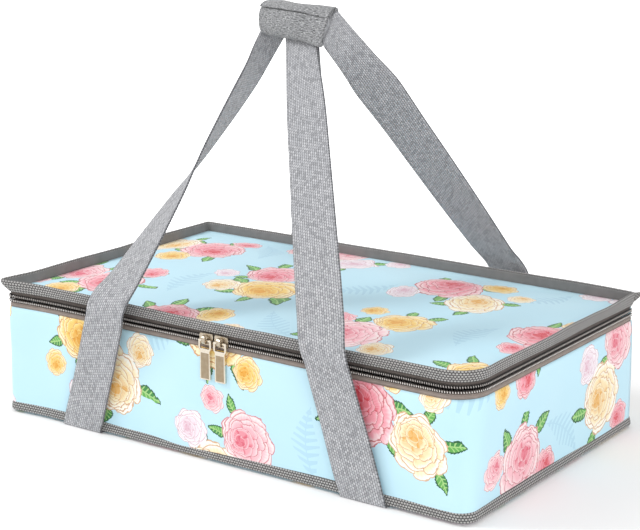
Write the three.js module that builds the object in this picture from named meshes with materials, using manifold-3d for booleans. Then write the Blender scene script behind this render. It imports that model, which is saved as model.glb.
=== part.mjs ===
// A fabric casserole carrier: an insulated tray with a zipped, hinged lid, carried by two
// webbing handles that a padded grip holds together over the lid.
// Millimetres, +Z up, +X along the long side, the front with the zip pulls at -Y.
import * as THREE from 'three';
import Module from 'manifold-3d';
import { mergeVertices } from 'three/addons/utils/BufferGeometryUtils.js';

const wasm = await Module();
wasm.setup();

// Overall sizes of the case
const WALL_LENGTH = 417; // over the printed walls, left to right
const WALL_DEPTH = 246; // over the printed walls, front to back
const WALL_HEIGHT = 85; // from the base panel to the hem under the zip
const BOTTOM_CORNER_RADIUS = 10; // of the front corners at the floor
const TOP_CORNER_RADIUS = 25; // of the front corners at the zip, which runs round them
const BACK_CORNER_RADIUS = 3; // the back corners are sewn square
const LEAST_RADIUS = 0.5; // what is left of a corner on the innermost layers
const FIT_GAP = 0.3; // between any two layers that lie on each other

// Thicknesses of what the case is sewn from
const FABRIC = 0.6;
const FOAM = 4;
const LINER = 0.5;
const TAPE = 0.5;
const BINDING_TAPE = 0.6;
const BOARD = 1.6;

// Webbing
const WEBBING_WIDTH = 38;
const WEBBING = 1.5; // thickness

// Levels of the base layers, from the floor up
const BASE_BOTTOM = WEBBING + FIT_GAP;
const BASE_PANEL_TOP = BASE_BOTTOM + FABRIC;
const BASE_FOAM_BOTTOM = BASE_PANEL_TOP + FIT_GAP;
const BASE_FOAM_TOP = BASE_FOAM_BOTTOM + FOAM;
const BOARD_BOTTOM = BASE_FOAM_TOP + FIT_GAP;
const BOARD_TOP = BOARD_BOTTOM + BOARD;
const LINER_BOTTOM = BOARD_TOP + FIT_GAP;
const WALL_TOP = BASE_BOTTOM + WALL_HEIGHT;
const FOAM_TOP = WALL_TOP - FIT_GAP;

// Insets of the wall layers from the outer face of the printed wall
const WALL_INNER = FABRIC;
const TAPE_OUTER = WALL_INNER + FIT_GAP;
const TAPE_INNER = TAPE_OUTER + TAPE;
const FOAM_OUTER = TAPE_INNER + FIT_GAP;
const FOAM_INNER = FOAM_OUTER + FOAM;
const LINER_OUTER = FOAM_INNER + FIT_GAP;
const LINER_INNER = LINER_OUTER + LINER;

// The zip: two rows of teeth with the sliders' posts running between them
const LOWER_TAPE_SHOWING = 4;
const UPPER_TAPE_SHOWING = 2.4;
const TAPE_SEAM = 9; // of the lower tape behind the printed wall
const ROW_HEIGHT = 2.1;
const ROW_THICKNESS = 2.2;
const ROW_PARTING = 1.6; // between the two rows
const LOWER_ROW_BOTTOM = WALL_TOP + LOWER_TAPE_SHOWING;
const LOWER_ROW_TOP = LOWER_ROW_BOTTOM + ROW_HEIGHT;
const ZIP_LEVEL = LOWER_ROW_TOP + ROW_PARTING / 2;
const UPPER_ROW_BOTTOM = LOWER_ROW_TOP + ROW_PARTING;
const UPPER_ROW_TOP = UPPER_ROW_BOTTOM + ROW_HEIGHT;
const CHAIN_INSET = (TAPE_OUTER + TAPE_INNER) / 2;
const CHAIN_OUTER = CHAIN_INSET - ROW_THICKNESS / 2;
const CHAIN_INNER = CHAIN_INSET + ROW_THICKNESS / 2;
const ZIP_END_SETBACK = 4; // of the zip's ends from the back wall

// The lid's standing lip: a folded binding round the edges of the lid and the upper tape
const LIP_BOTTOM = UPPER_ROW_TOP + UPPER_TAPE_SHOWING;
const LIP_HEIGHT = 8.5;
const LIP_TOP = LIP_BOTTOM + LIP_HEIGHT;
const LIP_LEAN = 2; // of its top edge outwards
const LIP_ROUND = 0.5; // of the fold along its top
const LID_SINK = 6.2; // of the printed top below the lip's top edge
const LID_CROWN = 2.5; // of the printed top's middle above its edge
const LID_CROWN_INSET = 49; // from the edge to where the top is level
const LID_INSET = 6; // of the lid's foam and liner, clear of the sliders' inner plates

// The binding round the bottom edge
const BASE_BINDING_THICKNESS = 2;
const BASE_BINDING_HEIGHT = 7.6;
// outline of its section as shares of its thickness and its height, from the inner bottom corner
const BASE_BINDING_shares = [[0, 0], [0.75, 0], [1, 0.16], [0.9, 0.62], [0.62, 0.94], [0, 1]];

// Sliders, seen with the zip running along X and the front of the case at -Y
const SLIDER_LENGTH = 12.4;
const SLIDER_HEIGHT = 9;
const SLIDER_TAIL_HEIGHT = 8.2;
const SLIDER_PLATE = 1.2;
const SLIDER_BETWEEN = 1.4; // between the two sliders where they meet
const SLIDERS_MEET_X = -5;
const SLIDER_ROUND = 1.6;
const POST_LENGTH = 4;
const POST_HEIGHT = 1; // it runs in the parting of the rows
const POST_SETBACK = 1.2;
const CROWN_WIDTH = 3.4;
const CROWN_REACH = 2.7; // from the slider's face to the underside of its crown
const CROWN_BAR = 1.1;
const CROWN_HALF_HEIGHT = 3.3;

// Pulls: a ring head with a flat tapered tab
const PULL_THICKNESS = 1.4;
const PULL_BAR = 1.5;
const RING_WIDTH = 11.6;
const RING_HEIGHT = 8.4;
const TAB_NECK_WIDTH = 8.6;
const TAB_END_WIDTH = 9.6;
const TAB_LENGTH = 22;
const TAB_ROUND = 1.8;

// Handles: where the webbing leaves the floor, stands off the rim and meets the grip
const STRAP_FOOT_X = 131;
const STRAP_RIM_X = 98;
const STRAP_TOP_X = 88; // where the legs start straight for the grip
const BACK_RIM_SHIFT = -7; // of both back legs to the left at the rim
const BACK_TOP_SHIFT = -9;
const STRAP_RIM_STANDOFF = 11; // of the webbing's middle from the wall, at the rim
const STRAP_MIDDLE_STANDOFF = 6.6;
const STRAP_BEND_RISE = 22; // above the lip, where the legs start straight
const FOOT_SKEW_HEIGHT = 26; // over which the foot's slanting end turns square
// points of a leg between its foot and the rim, as shares of that rise
const LEG_LOW_share = 0.16;
const LEG_MIDDLE_share = 0.48;
const LEG_HIGH_share = 0.84;
// how far the leg has gone from one standoff to the next at the low and the high point
const LEG_LOW_STANDOFF_share = 0.3;
const LEG_HIGH_STANDOFF_share = 0.8;
const LEG_ROWS = 26;
const ACROSS_shares = [-0.5, -0.25, 0, 0.25, 0.5];

// The grip, in its own frame: X along it, -Y to the front, Z up
const GRIP_LENGTH = 68;
const GRIP_X = -17;
const GRIP_Z = 310;
const GRIP_TURN = -17; // degrees about Z: its right end is nearer the front
const GRIP_INNER_RADIUS = 10.4;
const GRIP_PADDING = 2.6;
const GRIP_LIP = 0.8; // of the front half under the flap
const HOOK_TAPE = 0.55;
const FLAP = 1.4;
const GRIP_ARC_STEPS = 5; // degrees between points on the grip's arcs
const PAD_BEVEL = 0.5;
// Degrees round the grip, from the top towards the front
const FRONT_PAD_FROM = 42;
const FRONT_PAD_TO = 150;
const FRONT_LIP_FROM = 0;
const BACK_PAD_FROM = -8;
const BACK_PAD_TO = -150;
const FLAP_FROM = -14;
const FLAP_TO = 40;
const CLOSURE_FROM = 6;
const CLOSURE_TO = 35;

// How the webbing lies inside the grip: up the middle, over, and down along the pad
const TUBE_WEB_FROM_MIDDLE = 1;
const TUBE_WEB_BOTTOM = -9.6;
const TUBE_BEND_START = 3.2;
const TUBE_BEND_RADIUS = 3.2;
const TUBE_WEB_END = -5;
const TUBE_BEND_STEPS = 6;
// Each strap has one leg that comes up through the slot and one that leaves by a grip's end
const FRONT_SLOT_ALONG = 2; // the middle of the front right leg, along the grip
const BACK_SLOT_ALONG = 2; // the middle of the back left leg
const END_CLEAR = 1.5; // a leg that leaves by the end starts so far past it
const BACK_END_REACH = 1; // the back right leg runs on so far, and then turns down
const BACK_END_LEAN = 0.5; // of that leg to the back there
const FRONT_END_REACH = 1; // the front left leg turns down sooner
const FRONT_END_LEAN = 1;
const FRONT_END_DROP = 9;
const FLATTEN_share = 0.13; // of the leg's length, over which its fold opens flat
const FRONT_TURN = -90; // degrees the front left leg turns about its own line on its way up
const FRONT_TURN_FROM_share = 0.16; // of its length, where the turn starts
const BACK_TURN = 20; // degrees the back right leg turns
const BACK_TURN_FROM_share = 0.35;

const rad = THREE.MathUtils.degToRad;
const vec = (x, y, z) => new THREE.Vector3(x, y, z);
const mix = THREE.MathUtils.lerp;
const smooth = (t) => THREE.MathUtils.smoothstep(t, 0, 1);

const root = new THREE.Group();

// Materials
const finish = (color, roughness, metalness = 0) =>
  new THREE.MeshStandardMaterial({ color, roughness, metalness });
const PRINT = finish(0xc9ebfa, 0.85);
const BINDING = finish(0x706d69, 0.9);
const WEB = finish(0xa3a3a8, 0.85);
const GRIP_CLOTH = finish(0x8f9091, 0.95);
const ZIP_TAPE = finish(0x8c7f78, 0.9);
const TEETH = finish(0x5a524c, 0.5);
const METAL = finish(0xb09878, 0.35, 0.9);
const FOIL = finish(0xc9ccce, 0.35, 0.6);
const FOAM_WHITE = finish(0xe9e9e4, 0.95);
const BOARD_GREY = finish(0x55585c, 0.8);
const HOOKS = finish(0x5b5c5e, 0.95);

function add(name, geometry, material, parent = root) {
  const mesh = new THREE.Mesh(geometry, material);
  mesh.name = name;
  parent.add(mesh);
  return mesh;
}

// A geometry from points and triangles, turned so that its faces point out
function closedGeometry(points, triangles) {
  const volume = triangles.reduce((sum, [a, b, c]) => {
    const cross = points[b].clone().cross(points[c]);
    return sum + points[a].dot(cross);
  }, 0);
  const index = volume < 0 ? triangles.map(([a, b, c]) => [a, c, b]) : triangles;
  const geometry = new THREE.BufferGeometry();
  geometry.setFromPoints(points);
  geometry.setIndex(index.flat());
  return geometry.toNonIndexed();
}

// Corner arc points, anticlockwise, from one angle through a right angle
function cornerArc(centreX, centreY, radius, fromDegrees, steps, z) {
  return Array.from({ length: steps + 1 }, (_, i) => {
    const angle = rad(fromDegrees + (90 * i) / steps);
    return vec(centreX + radius * Math.cos(angle), centreY + radius * Math.sin(angle), z);
  });
}

const FRONT_CORNER_STEPS = 8;
const BACK_CORNER_STEPS = 2;

// The front corners open out from the floor to the zip
function frontRadiusAt(z) {
  const share = THREE.MathUtils.clamp((z - BASE_BOTTOM) / WALL_HEIGHT, 0, 1);
  return mix(BOTTOM_CORNER_RADIUS, TOP_CORNER_RADIUS, share);
}

function frontCorners(inset, z) {
  const radius = Math.max(frontRadiusAt(z) - inset, LEAST_RADIUS);
  const x = WALL_LENGTH / 2 - inset - radius;
  const y = WALL_DEPTH / 2 - inset - radius;
  return [
    ...cornerArc(-x, -y, radius, 180, FRONT_CORNER_STEPS, z),
    ...cornerArc(x, -y, radius, 270, FRONT_CORNER_STEPS, z),
  ];
}

// The whole outline of the case at one level, inset from the printed wall's outer face
function fullOutline(inset, z) {
  const radius = Math.max(BACK_CORNER_RADIUS - inset, LEAST_RADIUS);
  const x = WALL_LENGTH / 2 - inset - radius;
  const y = WALL_DEPTH / 2 - inset - radius;
  return [
    ...frontCorners(inset, z),
    ...cornerArc(x, y, radius, 0, BACK_CORNER_STEPS, z),
    ...cornerArc(-x, y, radius, 90, BACK_CORNER_STEPS, z),
  ];
}

// The outline without its back, for what runs round the front and both sides
const openOutline = (setback) => (inset, z) => {
  const x = WALL_LENGTH / 2 - inset;
  const y = WALL_DEPTH / 2 - setback;
  return [vec(-x, y, z), ...frontCorners(inset, z), vec(x, y, z)];
};

// A closed profile of [inset, level] points carried round an outline
function sweep(profile, outline, closed) {
  const rails = profile.map(([inset, z]) => outline(inset, z));
  const stations = rails[0].length;
  const at = (rail, station) => (rail % rails.length) * stations + (station % stations);
  const triangles = [];
  const spans = closed ? stations : stations - 1;
  for (let rail = 0; rail < rails.length; rail++) {
    for (let s = 0; s < spans; s++) {
      triangles.push([at(rail, s), at(rail, s + 1), at(rail + 1, s + 1)]);
      triangles.push([at(rail, s), at(rail + 1, s + 1), at(rail + 1, s)]);
    }
  }
  if (!closed) {
    const flat = profile.map(([inset, z]) => new THREE.Vector2(inset, z));
    const turn = Math.sign(THREE.ShapeUtils.area(flat));
    for (const face of THREE.ShapeUtils.triangulateShape(flat, [])) {
      const same = Math.sign(THREE.ShapeUtils.area(face.map((i) => flat[i]))) === turn;
      const [a, b, c] = same ? face : [...face].reverse();
      triangles.push([at(a, 0), at(b, 0), at(c, 0)]);
      triangles.push([at(a, stations - 1), at(c, stations - 1), at(b, stations - 1)]);
    }
  }
  return closedGeometry(rails.flat(), triangles);
}

const band = (outer, inner, bottom, top) => [
  [outer, bottom],
  [outer, top],
  [inner, top],
  [inner, bottom],
];

// A shallow dish: rings of [inset, level] from one middle point round to the other
function dish(firstMiddle, rings, lastMiddle) {
  const rails = rings.map(([inset, z]) => fullOutline(inset, z));
  const stations = rails[0].length;
  const points = [...rails.flat(), vec(0, 0, firstMiddle), vec(0, 0, lastMiddle)];
  const first = points.length - 2;
  const last = points.length - 1;
  const triangles = [];
  for (let s = 0; s < stations; s++) {
    const next = (s + 1) % stations;
    const lastRail = (rails.length - 1) * stations;
    triangles.push([first, next, s]);
    triangles.push([last, lastRail + s, lastRail + next]);
    for (let rail = 0; rail < rails.length - 1; rail++) {
      const a = rail * stations;
      const b = a + stations;
      triangles.push([a + s, a + next, b + next]);
      triangles.push([a + s, b + next, b + s]);
    }
  }
  return closedGeometry(points, triangles);
}

const plate = (inset, bottom, top) => dish(top, [[inset, top], [inset, bottom]], bottom);

// A thin sheet given as grids of points, some sharing an edge, thickened to both sides
function sheet(grids, thickness) {
  const points = [];
  const known = new Map();
  const find = (p) => {
    const key = p.toArray().map((value) => value.toFixed(4)).join();
    if (!known.has(key)) {
      known.set(key, points.length);
      points.push(p);
    }
    return known.get(key);
  };
  const faces = [];
  for (const grid of grids) {
    const index = grid.map((row) => row.map(find));
    for (let r = 0; r + 1 < index.length; r++) {
      for (let c = 0; c + 1 < index[r].length; c++) {
        faces.push([index[r][c], index[r][c + 1], index[r + 1][c + 1]]);
        faces.push([index[r][c], index[r + 1][c + 1], index[r + 1][c]]);
      }
    }
  }
  const normals = points.map(() => vec(0, 0, 0));
  const edges = new Map();
  for (const [a, b, c] of faces) {
    const normal = points[b].clone().sub(points[a]).cross(points[c].clone().sub(points[a]));
    for (const [from, to] of [[a, b], [b, c], [c, a]]) {
      normals[from].add(normal);
      edges.set(`${from},${to}`, [from, to]);
    }
  }
  const offset = (side) => points.map((p, i) =>
    p.clone().addScaledVector(normals[i].clone().normalize(), (side * thickness) / 2));
  const back = points.length;
  const triangles = [...faces, ...faces.map(([a, b, c]) => [a + back, c + back, b + back])];
  for (const [from, to] of edges.values()) {
    if (edges.has(`${to},${from}`)) continue;
    triangles.push([to, from, from + back], [to, from + back, to + back]);
  }
  return closedGeometry([...offset(1), ...offset(-1)], triangles);
}

// Joining solids
function toSolid(geometry) {
  const bare = geometry.clone();
  bare.deleteAttribute('normal');
  bare.deleteAttribute('uv');
  const merged = mergeVertices(bare);
  return new wasm.Manifold(new wasm.Mesh({
    numProp: 3,
    vertProperties: merged.attributes.position.array,
    triVerts: new Uint32Array(merged.index.array),
  }));
}

function join(geometries) {
  const mesh = geometries.map(toSolid).reduce((sum, solid) => sum.add(solid)).getMesh();
  const geometry = new THREE.BufferGeometry();
  geometry.setAttribute('position', new THREE.Float32BufferAttribute(mesh.vertProperties, 3));
  geometry.setIndex(new THREE.Uint32BufferAttribute(mesh.triVerts, 1));
  return geometry.toNonIndexed();
}

function box(x0, x1, y0, y1, z0, z1) {
  const geometry = new THREE.BoxGeometry(x1 - x0, y1 - y0, z1 - z0);
  return geometry.translate((x0 + x1) / 2, (y0 + y1) / 2, (z0 + z1) / 2);
}

// Tray
function buildTray() {
  add('base_panel', plate(FIT_GAP, BASE_BOTTOM, BASE_PANEL_TOP), PRINT);
  add('base_foam', plate(FOAM_OUTER, BASE_FOAM_BOTTOM, BASE_FOAM_TOP), FOAM_WHITE);
  add('base_board', plate(LINER_OUTER, BOARD_BOTTOM, BOARD_TOP), BOARD_GREY);

  const wallBottom = BASE_PANEL_TOP + FIT_GAP;
  add('wall_strip', sweep(band(0, WALL_INNER, wallBottom, WALL_TOP),
    openOutline(BACK_CORNER_RADIUS), false), PRINT);
  add('back_panel', backPanel(wallBottom), PRINT);
  add('wall_foam', sweep(band(FOAM_OUTER, FOAM_INNER, BASE_FOAM_TOP + FIT_GAP, FOAM_TOP),
    fullOutline, true), FOAM_WHITE);
  add('tray_liner', dish(LINER_BOTTOM,
    [[LINER_OUTER, LINER_BOTTOM], [LINER_OUTER, FOAM_TOP], [LINER_INNER, FOAM_TOP],
      [LINER_INNER, LINER_BOTTOM + LINER]], LINER_BOTTOM + LINER), FOIL);

  const binding = BASE_BINDING_shares.map(([out, up]) => [
    -FIT_GAP - out * BASE_BINDING_THICKNESS,
    BASE_BOTTOM + up * BASE_BINDING_HEIGHT,
  ]);
  add('base_binding', sweep(binding, fullOutline, true), BINDING);
  for (const [side, sign] of [['left', -1], ['right', 1]]) {
    add(`base_strap_${side}`, baseStrap(sign * STRAP_FOOT_X), WEB);
  }

  const zip = openOutline(ZIP_END_SETBACK);
  add('zip_lower_tape', sweep(
    band(TAPE_OUTER, TAPE_INNER, WALL_TOP - TAPE_SEAM, LOWER_ROW_BOTTOM - FIT_GAP),
    zip, false), ZIP_TAPE);
  add('zip_lower_teeth', sweep(teethRow(LOWER_ROW_BOTTOM), zip, false), TEETH);
}

// The back wall goes on up to the lid's lip, where it is the lid's hinge
function backPanel(bottom) {
  const halfLength = WALL_LENGTH / 2 - BACK_CORNER_RADIUS;
  const outer = WALL_DEPTH / 2;
  return box(-halfLength, halfLength, outer - FABRIC, outer, bottom, LIP_BOTTOM - FIT_GAP);
}

// A row of zip teeth in outline, with its corners taken off
const TEETH_CORNER_share = 0.3;
function teethRow(bottom) {
  const cut = ROW_HEIGHT * TEETH_CORNER_share;
  const top = bottom + ROW_HEIGHT;
  return [
    [CHAIN_OUTER, bottom + cut], [CHAIN_OUTER, top - cut],
    [CHAIN_OUTER + cut, top], [CHAIN_INNER - cut, top],
    [CHAIN_INNER, top - cut], [CHAIN_INNER, bottom + cut],
    [CHAIN_INNER - cut, bottom], [CHAIN_OUTER + cut, bottom],
  ];
}

// Where the webbing turns up round the bottom edge
const STRAP_FOOT_STANDOFF = FIT_GAP + BASE_BINDING_THICKNESS + FIT_GAP + WEBBING / 2;
const STRAP_PIVOT_Y = WALL_DEPTH / 2 + STRAP_FOOT_STANDOFF;
const STRAP_PIVOT_Z = WEBBING / 2;
const STRAP_JOINT_GAP = WEBBING / 2 + FIT_GAP; // each side of the turn

function baseStrap(x) {
  const half = WEBBING_WIDTH / 2;
  const reach = STRAP_PIVOT_Y - STRAP_JOINT_GAP;
  return box(x - half, x + half, -reach, reach, 0, WEBBING);
}

// Lid
function buildLid() {
  const lean = (z) => (LIP_LEAN * (z - LIP_BOTTOM)) / LIP_HEIGHT;
  const leaned = (inset, z) => [inset - lean(z), z];
  const outerFace = TAPE_OUTER - FIT_GAP - BINDING_TAPE;
  const panelOuter = TAPE_INNER + FIT_GAP;
  const panelInner = panelOuter + FABRIC;
  const innerLeg = panelInner + FIT_GAP;
  const innerFace = innerLeg + BINDING_TAPE;
  const roof = LIP_TOP - BINDING_TAPE;
  const edgeTop = roof - FIT_GAP;
  const lidTop = LIP_TOP - LID_SINK;
  const lidUnder = lidTop - FABRIC;

  add('lid_binding', sweep([
    leaned(outerFace, LIP_BOTTOM), leaned(outerFace, LIP_TOP - LIP_ROUND),
    leaned(outerFace + LIP_ROUND, LIP_TOP), leaned(innerFace - LIP_ROUND, LIP_TOP),
    leaned(innerFace, LIP_TOP - LIP_ROUND), leaned(innerFace, lidTop + FIT_GAP),
    leaned(innerLeg, lidTop + FIT_GAP), leaned(innerLeg, roof),
    leaned(outerFace + BINDING_TAPE, roof), leaned(outerFace + BINDING_TAPE, LIP_BOTTOM),
  ], fullOutline, true), BINDING);

  add('lid_panel', dish(lidTop + LID_CROWN, [
    [LID_CROWN_INSET, lidTop + LID_CROWN], [LID_INSET + LID_CROWN, lidTop],
    leaned(panelInner, lidTop), leaned(panelInner, edgeTop), leaned(panelOuter, edgeTop),
    leaned(panelOuter, lidUnder), [LID_INSET + LID_CROWN, lidUnder],
    [LID_CROWN_INSET, lidUnder + LID_CROWN],
  ], lidUnder + LID_CROWN), PRINT);

  const foamTop = lidUnder - FIT_GAP;
  add('lid_foam', dish(foamTop + LID_CROWN, [
    [LID_CROWN_INSET, foamTop + LID_CROWN], [LID_INSET + LID_CROWN, foamTop],
    [LID_INSET, foamTop - FIT_GAP], [LID_INSET, foamTop - FOAM],
  ], foamTop - FOAM), FOAM_WHITE);
  const linerTop = foamTop - FOAM - FIT_GAP;
  add('lid_liner', plate(LID_INSET, linerTop - LINER, linerTop), FOIL);

  const zip = openOutline(ZIP_END_SETBACK);
  const tapeProfile = [
    [TAPE_OUTER, UPPER_ROW_TOP + FIT_GAP], [TAPE_OUTER, LIP_BOTTOM],
    leaned(TAPE_OUTER, edgeTop), leaned(TAPE_INNER, edgeTop),
    [TAPE_INNER, LIP_BOTTOM], [TAPE_INNER, UPPER_ROW_TOP + FIT_GAP],
  ];
  add('zip_upper_tape', sweep(tapeProfile, zip, false), ZIP_TAPE);
  add('zip_upper_teeth', sweep(teethRow(UPPER_ROW_BOTTOM), zip, false), TEETH);
}

// A flat shape in X and Z, given a thickness in Y from a front face
function flatPiece(shape, frontY, thickness) {
  const geometry = new THREE.ExtrudeGeometry(shape, {
    depth: thickness, bevelEnabled: false, curveSegments: 3,
  });
  return geometry.rotateX(rad(90)).translate(0, frontY + thickness, 0);
}

// A polygon with rounded corners
function roundedShape(corners, radius, Path = THREE.Shape) {
  const path = new Path();
  corners.forEach(([x, y], i) => {
    const corner = new THREE.Vector2(x, y);
    const before = new THREE.Vector2(...corners.at(i - 1));
    const after = new THREE.Vector2(...corners[(i + 1) % corners.length]);
    const start = corner.clone().add(before.sub(corner).setLength(radius));
    const end = corner.clone().add(after.sub(corner).setLength(radius));
    if (i) path.lineTo(start.x, start.y);
    else path.moveTo(start.x, start.y);
    path.quadraticCurveTo(x, y, end.x, end.y);
  });
  path.closePath();
  return path;
}

// A slider: two plates on a post, with a crown for the pull. Its mouth faces the other slider
const SLIDER_FACE_Y = -WALL_DEPTH / 2 + CHAIN_OUTER - FIT_GAP - SLIDER_PLATE;
const SLIDER_BACK_Y = -WALL_DEPTH / 2 + CHAIN_INNER + FIT_GAP;
const PULL_Y = SLIDER_FACE_Y - CROWN_REACH / 2;
const PULL_Z = ZIP_LEVEL - CROWN_HALF_HEIGHT + CROWN_BAR + PULL_BAR;

function sliderBody(mouth) {
  const half = SLIDER_LENGTH / 2;
  const outline = () => roundedShape([
    [-mouth * half, -SLIDER_TAIL_HEIGHT / 2], [mouth * half, -SLIDER_HEIGHT / 2],
    [mouth * half, SLIDER_HEIGHT / 2], [-mouth * half, SLIDER_TAIL_HEIGHT / 2],
  ], SLIDER_ROUND);
  const postX = mouth * (half - POST_SETBACK - POST_LENGTH / 2);
  const tapeFace = -WALL_DEPTH / 2 + TAPE_OUTER - FIT_GAP;
  const tapeBack = -WALL_DEPTH / 2 + TAPE_INNER + FIT_GAP;
  const plateInner = SLIDER_FACE_Y + SLIDER_PLATE;
  const flangeHalf = half - SLIDER_ROUND;
  const flangeBottom = -SLIDER_TAIL_HEIGHT / 2;
  const flangeTop = LOWER_ROW_BOTTOM - FIT_GAP - ZIP_LEVEL;
  const sunk = SLIDER_PLATE / 2;
  return join([
    flatPiece(outline(), SLIDER_FACE_Y, SLIDER_PLATE),
    flatPiece(outline(), SLIDER_BACK_Y, SLIDER_PLATE),
    box(postX - POST_LENGTH / 2, postX + POST_LENGTH / 2,
      plateInner - sunk, SLIDER_BACK_Y + sunk, -POST_HEIGHT / 2, POST_HEIGHT / 2),
    box(-flangeHalf, flangeHalf, plateInner - sunk, tapeFace, flangeBottom, flangeTop),
    box(-flangeHalf, flangeHalf, tapeBack, SLIDER_BACK_Y + sunk, flangeBottom, flangeTop),
  ]);
}

// The crown: a low arch over the slider's face, across the zip
function crownShape() {
  const half = CROWN_HALF_HEIGHT;
  const outer = CROWN_REACH + CROWN_BAR;
  const arch = new THREE.Shape();
  arch.moveTo(-half, 0);
  arch.bezierCurveTo(-half, -outer, -half / 2, -outer, 0, -outer);
  arch.bezierCurveTo(half / 2, -outer, half, -outer, half, 0);
  arch.lineTo(half - CROWN_BAR, 0);
  const inner = half - CROWN_BAR;
  arch.bezierCurveTo(inner, -CROWN_REACH, inner / 2, -CROWN_REACH, 0, -CROWN_REACH);
  arch.bezierCurveTo(-inner / 2, -CROWN_REACH, -inner, -CROWN_REACH, -inner, 0);
  arch.closePath();
  return arch;
}

function crown() {
  const geometry = new THREE.ExtrudeGeometry(crownShape(), {
    depth: CROWN_WIDTH, bevelEnabled: false, curveSegments: 5,
  });
  // the shape's X becomes Z, its Y stays Y, and its depth runs along X
  const turn = new THREE.Matrix4().makeBasis(vec(0, 0, 1), vec(0, 1, 0), vec(-1, 0, 0));
  return geometry.applyMatrix4(turn).translate(CROWN_WIDTH / 2, SLIDER_FACE_Y - FIT_GAP, 0);
}

// The pull hangs on the crown by the bar across the top of its ring
function pull() {
  const top = PULL_BAR / 2;
  const ringBottom = top - RING_HEIGHT;
  const bottom = ringBottom - TAB_LENGTH;
  const ring = RING_WIDTH / 2;
  const neck = TAB_NECK_WIDTH / 2;
  const end = TAB_END_WIDTH / 2;
  const shape = roundedShape([
    [-ring, top], [-ring, ringBottom + TAB_ROUND], [-neck, ringBottom], [-end, bottom],
    [end, bottom], [neck, ringBottom], [ring, ringBottom + TAB_ROUND], [ring, top],
  ], TAB_ROUND / 2);
  const hole = ring - PULL_BAR;
  shape.holes.push(roundedShape([
    [-hole, top - PULL_BAR], [hole, top - PULL_BAR],
    [hole, ringBottom + PULL_BAR], [-hole, ringBottom + PULL_BAR],
  ], PULL_BAR / 2, THREE.Path));
  return flatPiece(shape, -PULL_THICKNESS / 2, PULL_THICKNESS);
}

function buildSliders() {
  const fromMiddle = (SLIDER_LENGTH + SLIDER_BETWEEN) / 2;
  for (const [side, sign] of [['left', -1], ['right', 1]]) {
    const slider = new THREE.Group();
    slider.position.set(SLIDERS_MEET_X + sign * fromMiddle, 0, ZIP_LEVEL);
    root.add(slider);
    add(`slider_${side}_body`, sliderBody(-sign), METAL, slider);
    add(`slider_${side}_crown`, crown(), METAL, slider);
    const hanging = add(`pull_${side}`, pull(), METAL, slider);
    hanging.position.set(0, PULL_Y, PULL_Z - ZIP_LEVEL);
  }
}

// Handles
const gripTurn = rad(GRIP_TURN);
const alongGrip = vec(Math.cos(gripTurn), Math.sin(gripTurn), 0);
const towardsFront = vec(Math.sin(gripTurn), -Math.cos(gripTurn), 0);

// A point in the grip: along it, towards the front of the case, and up from its middle
const inGrip = (along, front, up) => vec(GRIP_X, 0, GRIP_Z)
  .addScaledVector(alongGrip, along)
  .addScaledVector(towardsFront, front)
  .add(vec(0, 0, up));

// The webbing's line inside the grip, as [towards the pad, up], from the slot upwards
function tubeLine() {
  const line = [[TUBE_WEB_FROM_MIDDLE, TUBE_WEB_BOTTOM], [TUBE_WEB_FROM_MIDDLE, 0]];
  const centre = TUBE_WEB_FROM_MIDDLE + TUBE_BEND_RADIUS;
  for (let i = 0; i <= TUBE_BEND_STEPS; i++) {
    const angle = (Math.PI * i) / TUBE_BEND_STEPS;
    line.push([
      centre - TUBE_BEND_RADIUS * Math.cos(angle),
      TUBE_BEND_START + TUBE_BEND_RADIUS * Math.sin(angle),
    ]);
  }
  line.push([centre + TUBE_BEND_RADIUS, TUBE_WEB_END]);
  return line;
}

// A leg's centre line from the foot, up past the rim, to a point under the grip
function legCurve(side, face, under) {
  const wall = WALL_DEPTH / 2;
  const at = (x, standoff, z) => vec(side * x, face * (wall + standoff), z);
  const rise = (share) => mix(STRAP_PIVOT_Z, LIP_TOP, share);
  const rimX = face < 0 ? STRAP_RIM_X : STRAP_RIM_X + side * BACK_RIM_SHIFT;
  const topX = face < 0 ? STRAP_TOP_X : STRAP_TOP_X + side * BACK_TOP_SHIFT;
  const swing = (share) => mix(STRAP_FOOT_X, rimX, share);
  const lowStandoff = mix(STRAP_FOOT_STANDOFF, STRAP_MIDDLE_STANDOFF, LEG_LOW_STANDOFF_share);
  const highStandoff = mix(STRAP_MIDDLE_STANDOFF, STRAP_RIM_STANDOFF, LEG_HIGH_STANDOFF_share);
  return new THREE.CatmullRomCurve3([
    at(STRAP_FOOT_X, STRAP_FOOT_STANDOFF, STRAP_PIVOT_Z + STRAP_JOINT_GAP),
    at(swing(LEG_LOW_share), lowStandoff, rise(LEG_LOW_share)),
    at(swing(LEG_MIDDLE_share), STRAP_MIDDLE_STANDOFF, rise(LEG_MIDDLE_share)),
    at(swing(LEG_HIGH_share), highStandoff, rise(LEG_HIGH_share)),
    at(rimX, STRAP_RIM_STANDOFF, LIP_TOP),
    at(topX, 0, LIP_TOP + STRAP_BEND_RISE),
    ...under,
  ], false, 'centripetal');
}

// One row of points across a leg: its middle, where it heads, and which way its width lies
function legRow(centre, tangent, direction, shares, twist) {
  const square = direction.clone().addScaledVector(tangent, -direction.dot(tangent)).normalize();
  const low = Math.max(0, 1 - (centre.z - STRAP_PIVOT_Z) / FOOT_SKEW_HEIGHT);
  const across = square.lerp(direction, smooth(low)).applyAxisAngle(tangent, twist);
  return shares.map((share) => centre.clone().addScaledVector(across, share * WEBBING_WIDTH));
}

const noTwist = () => 0;

// The rows of a leg, from its foot to the last point of its curve
function legRows(curve, directionAt, shares, twistAt = noTwist) {
  return Array.from({ length: LEG_ROWS + 1 }, (_, i) => {
    const t = i / LEG_ROWS;
    return legRow(curve.getPointAt(t), curve.getTangentAt(t), directionAt(t), shares, twistAt(t));
  });
}

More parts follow.
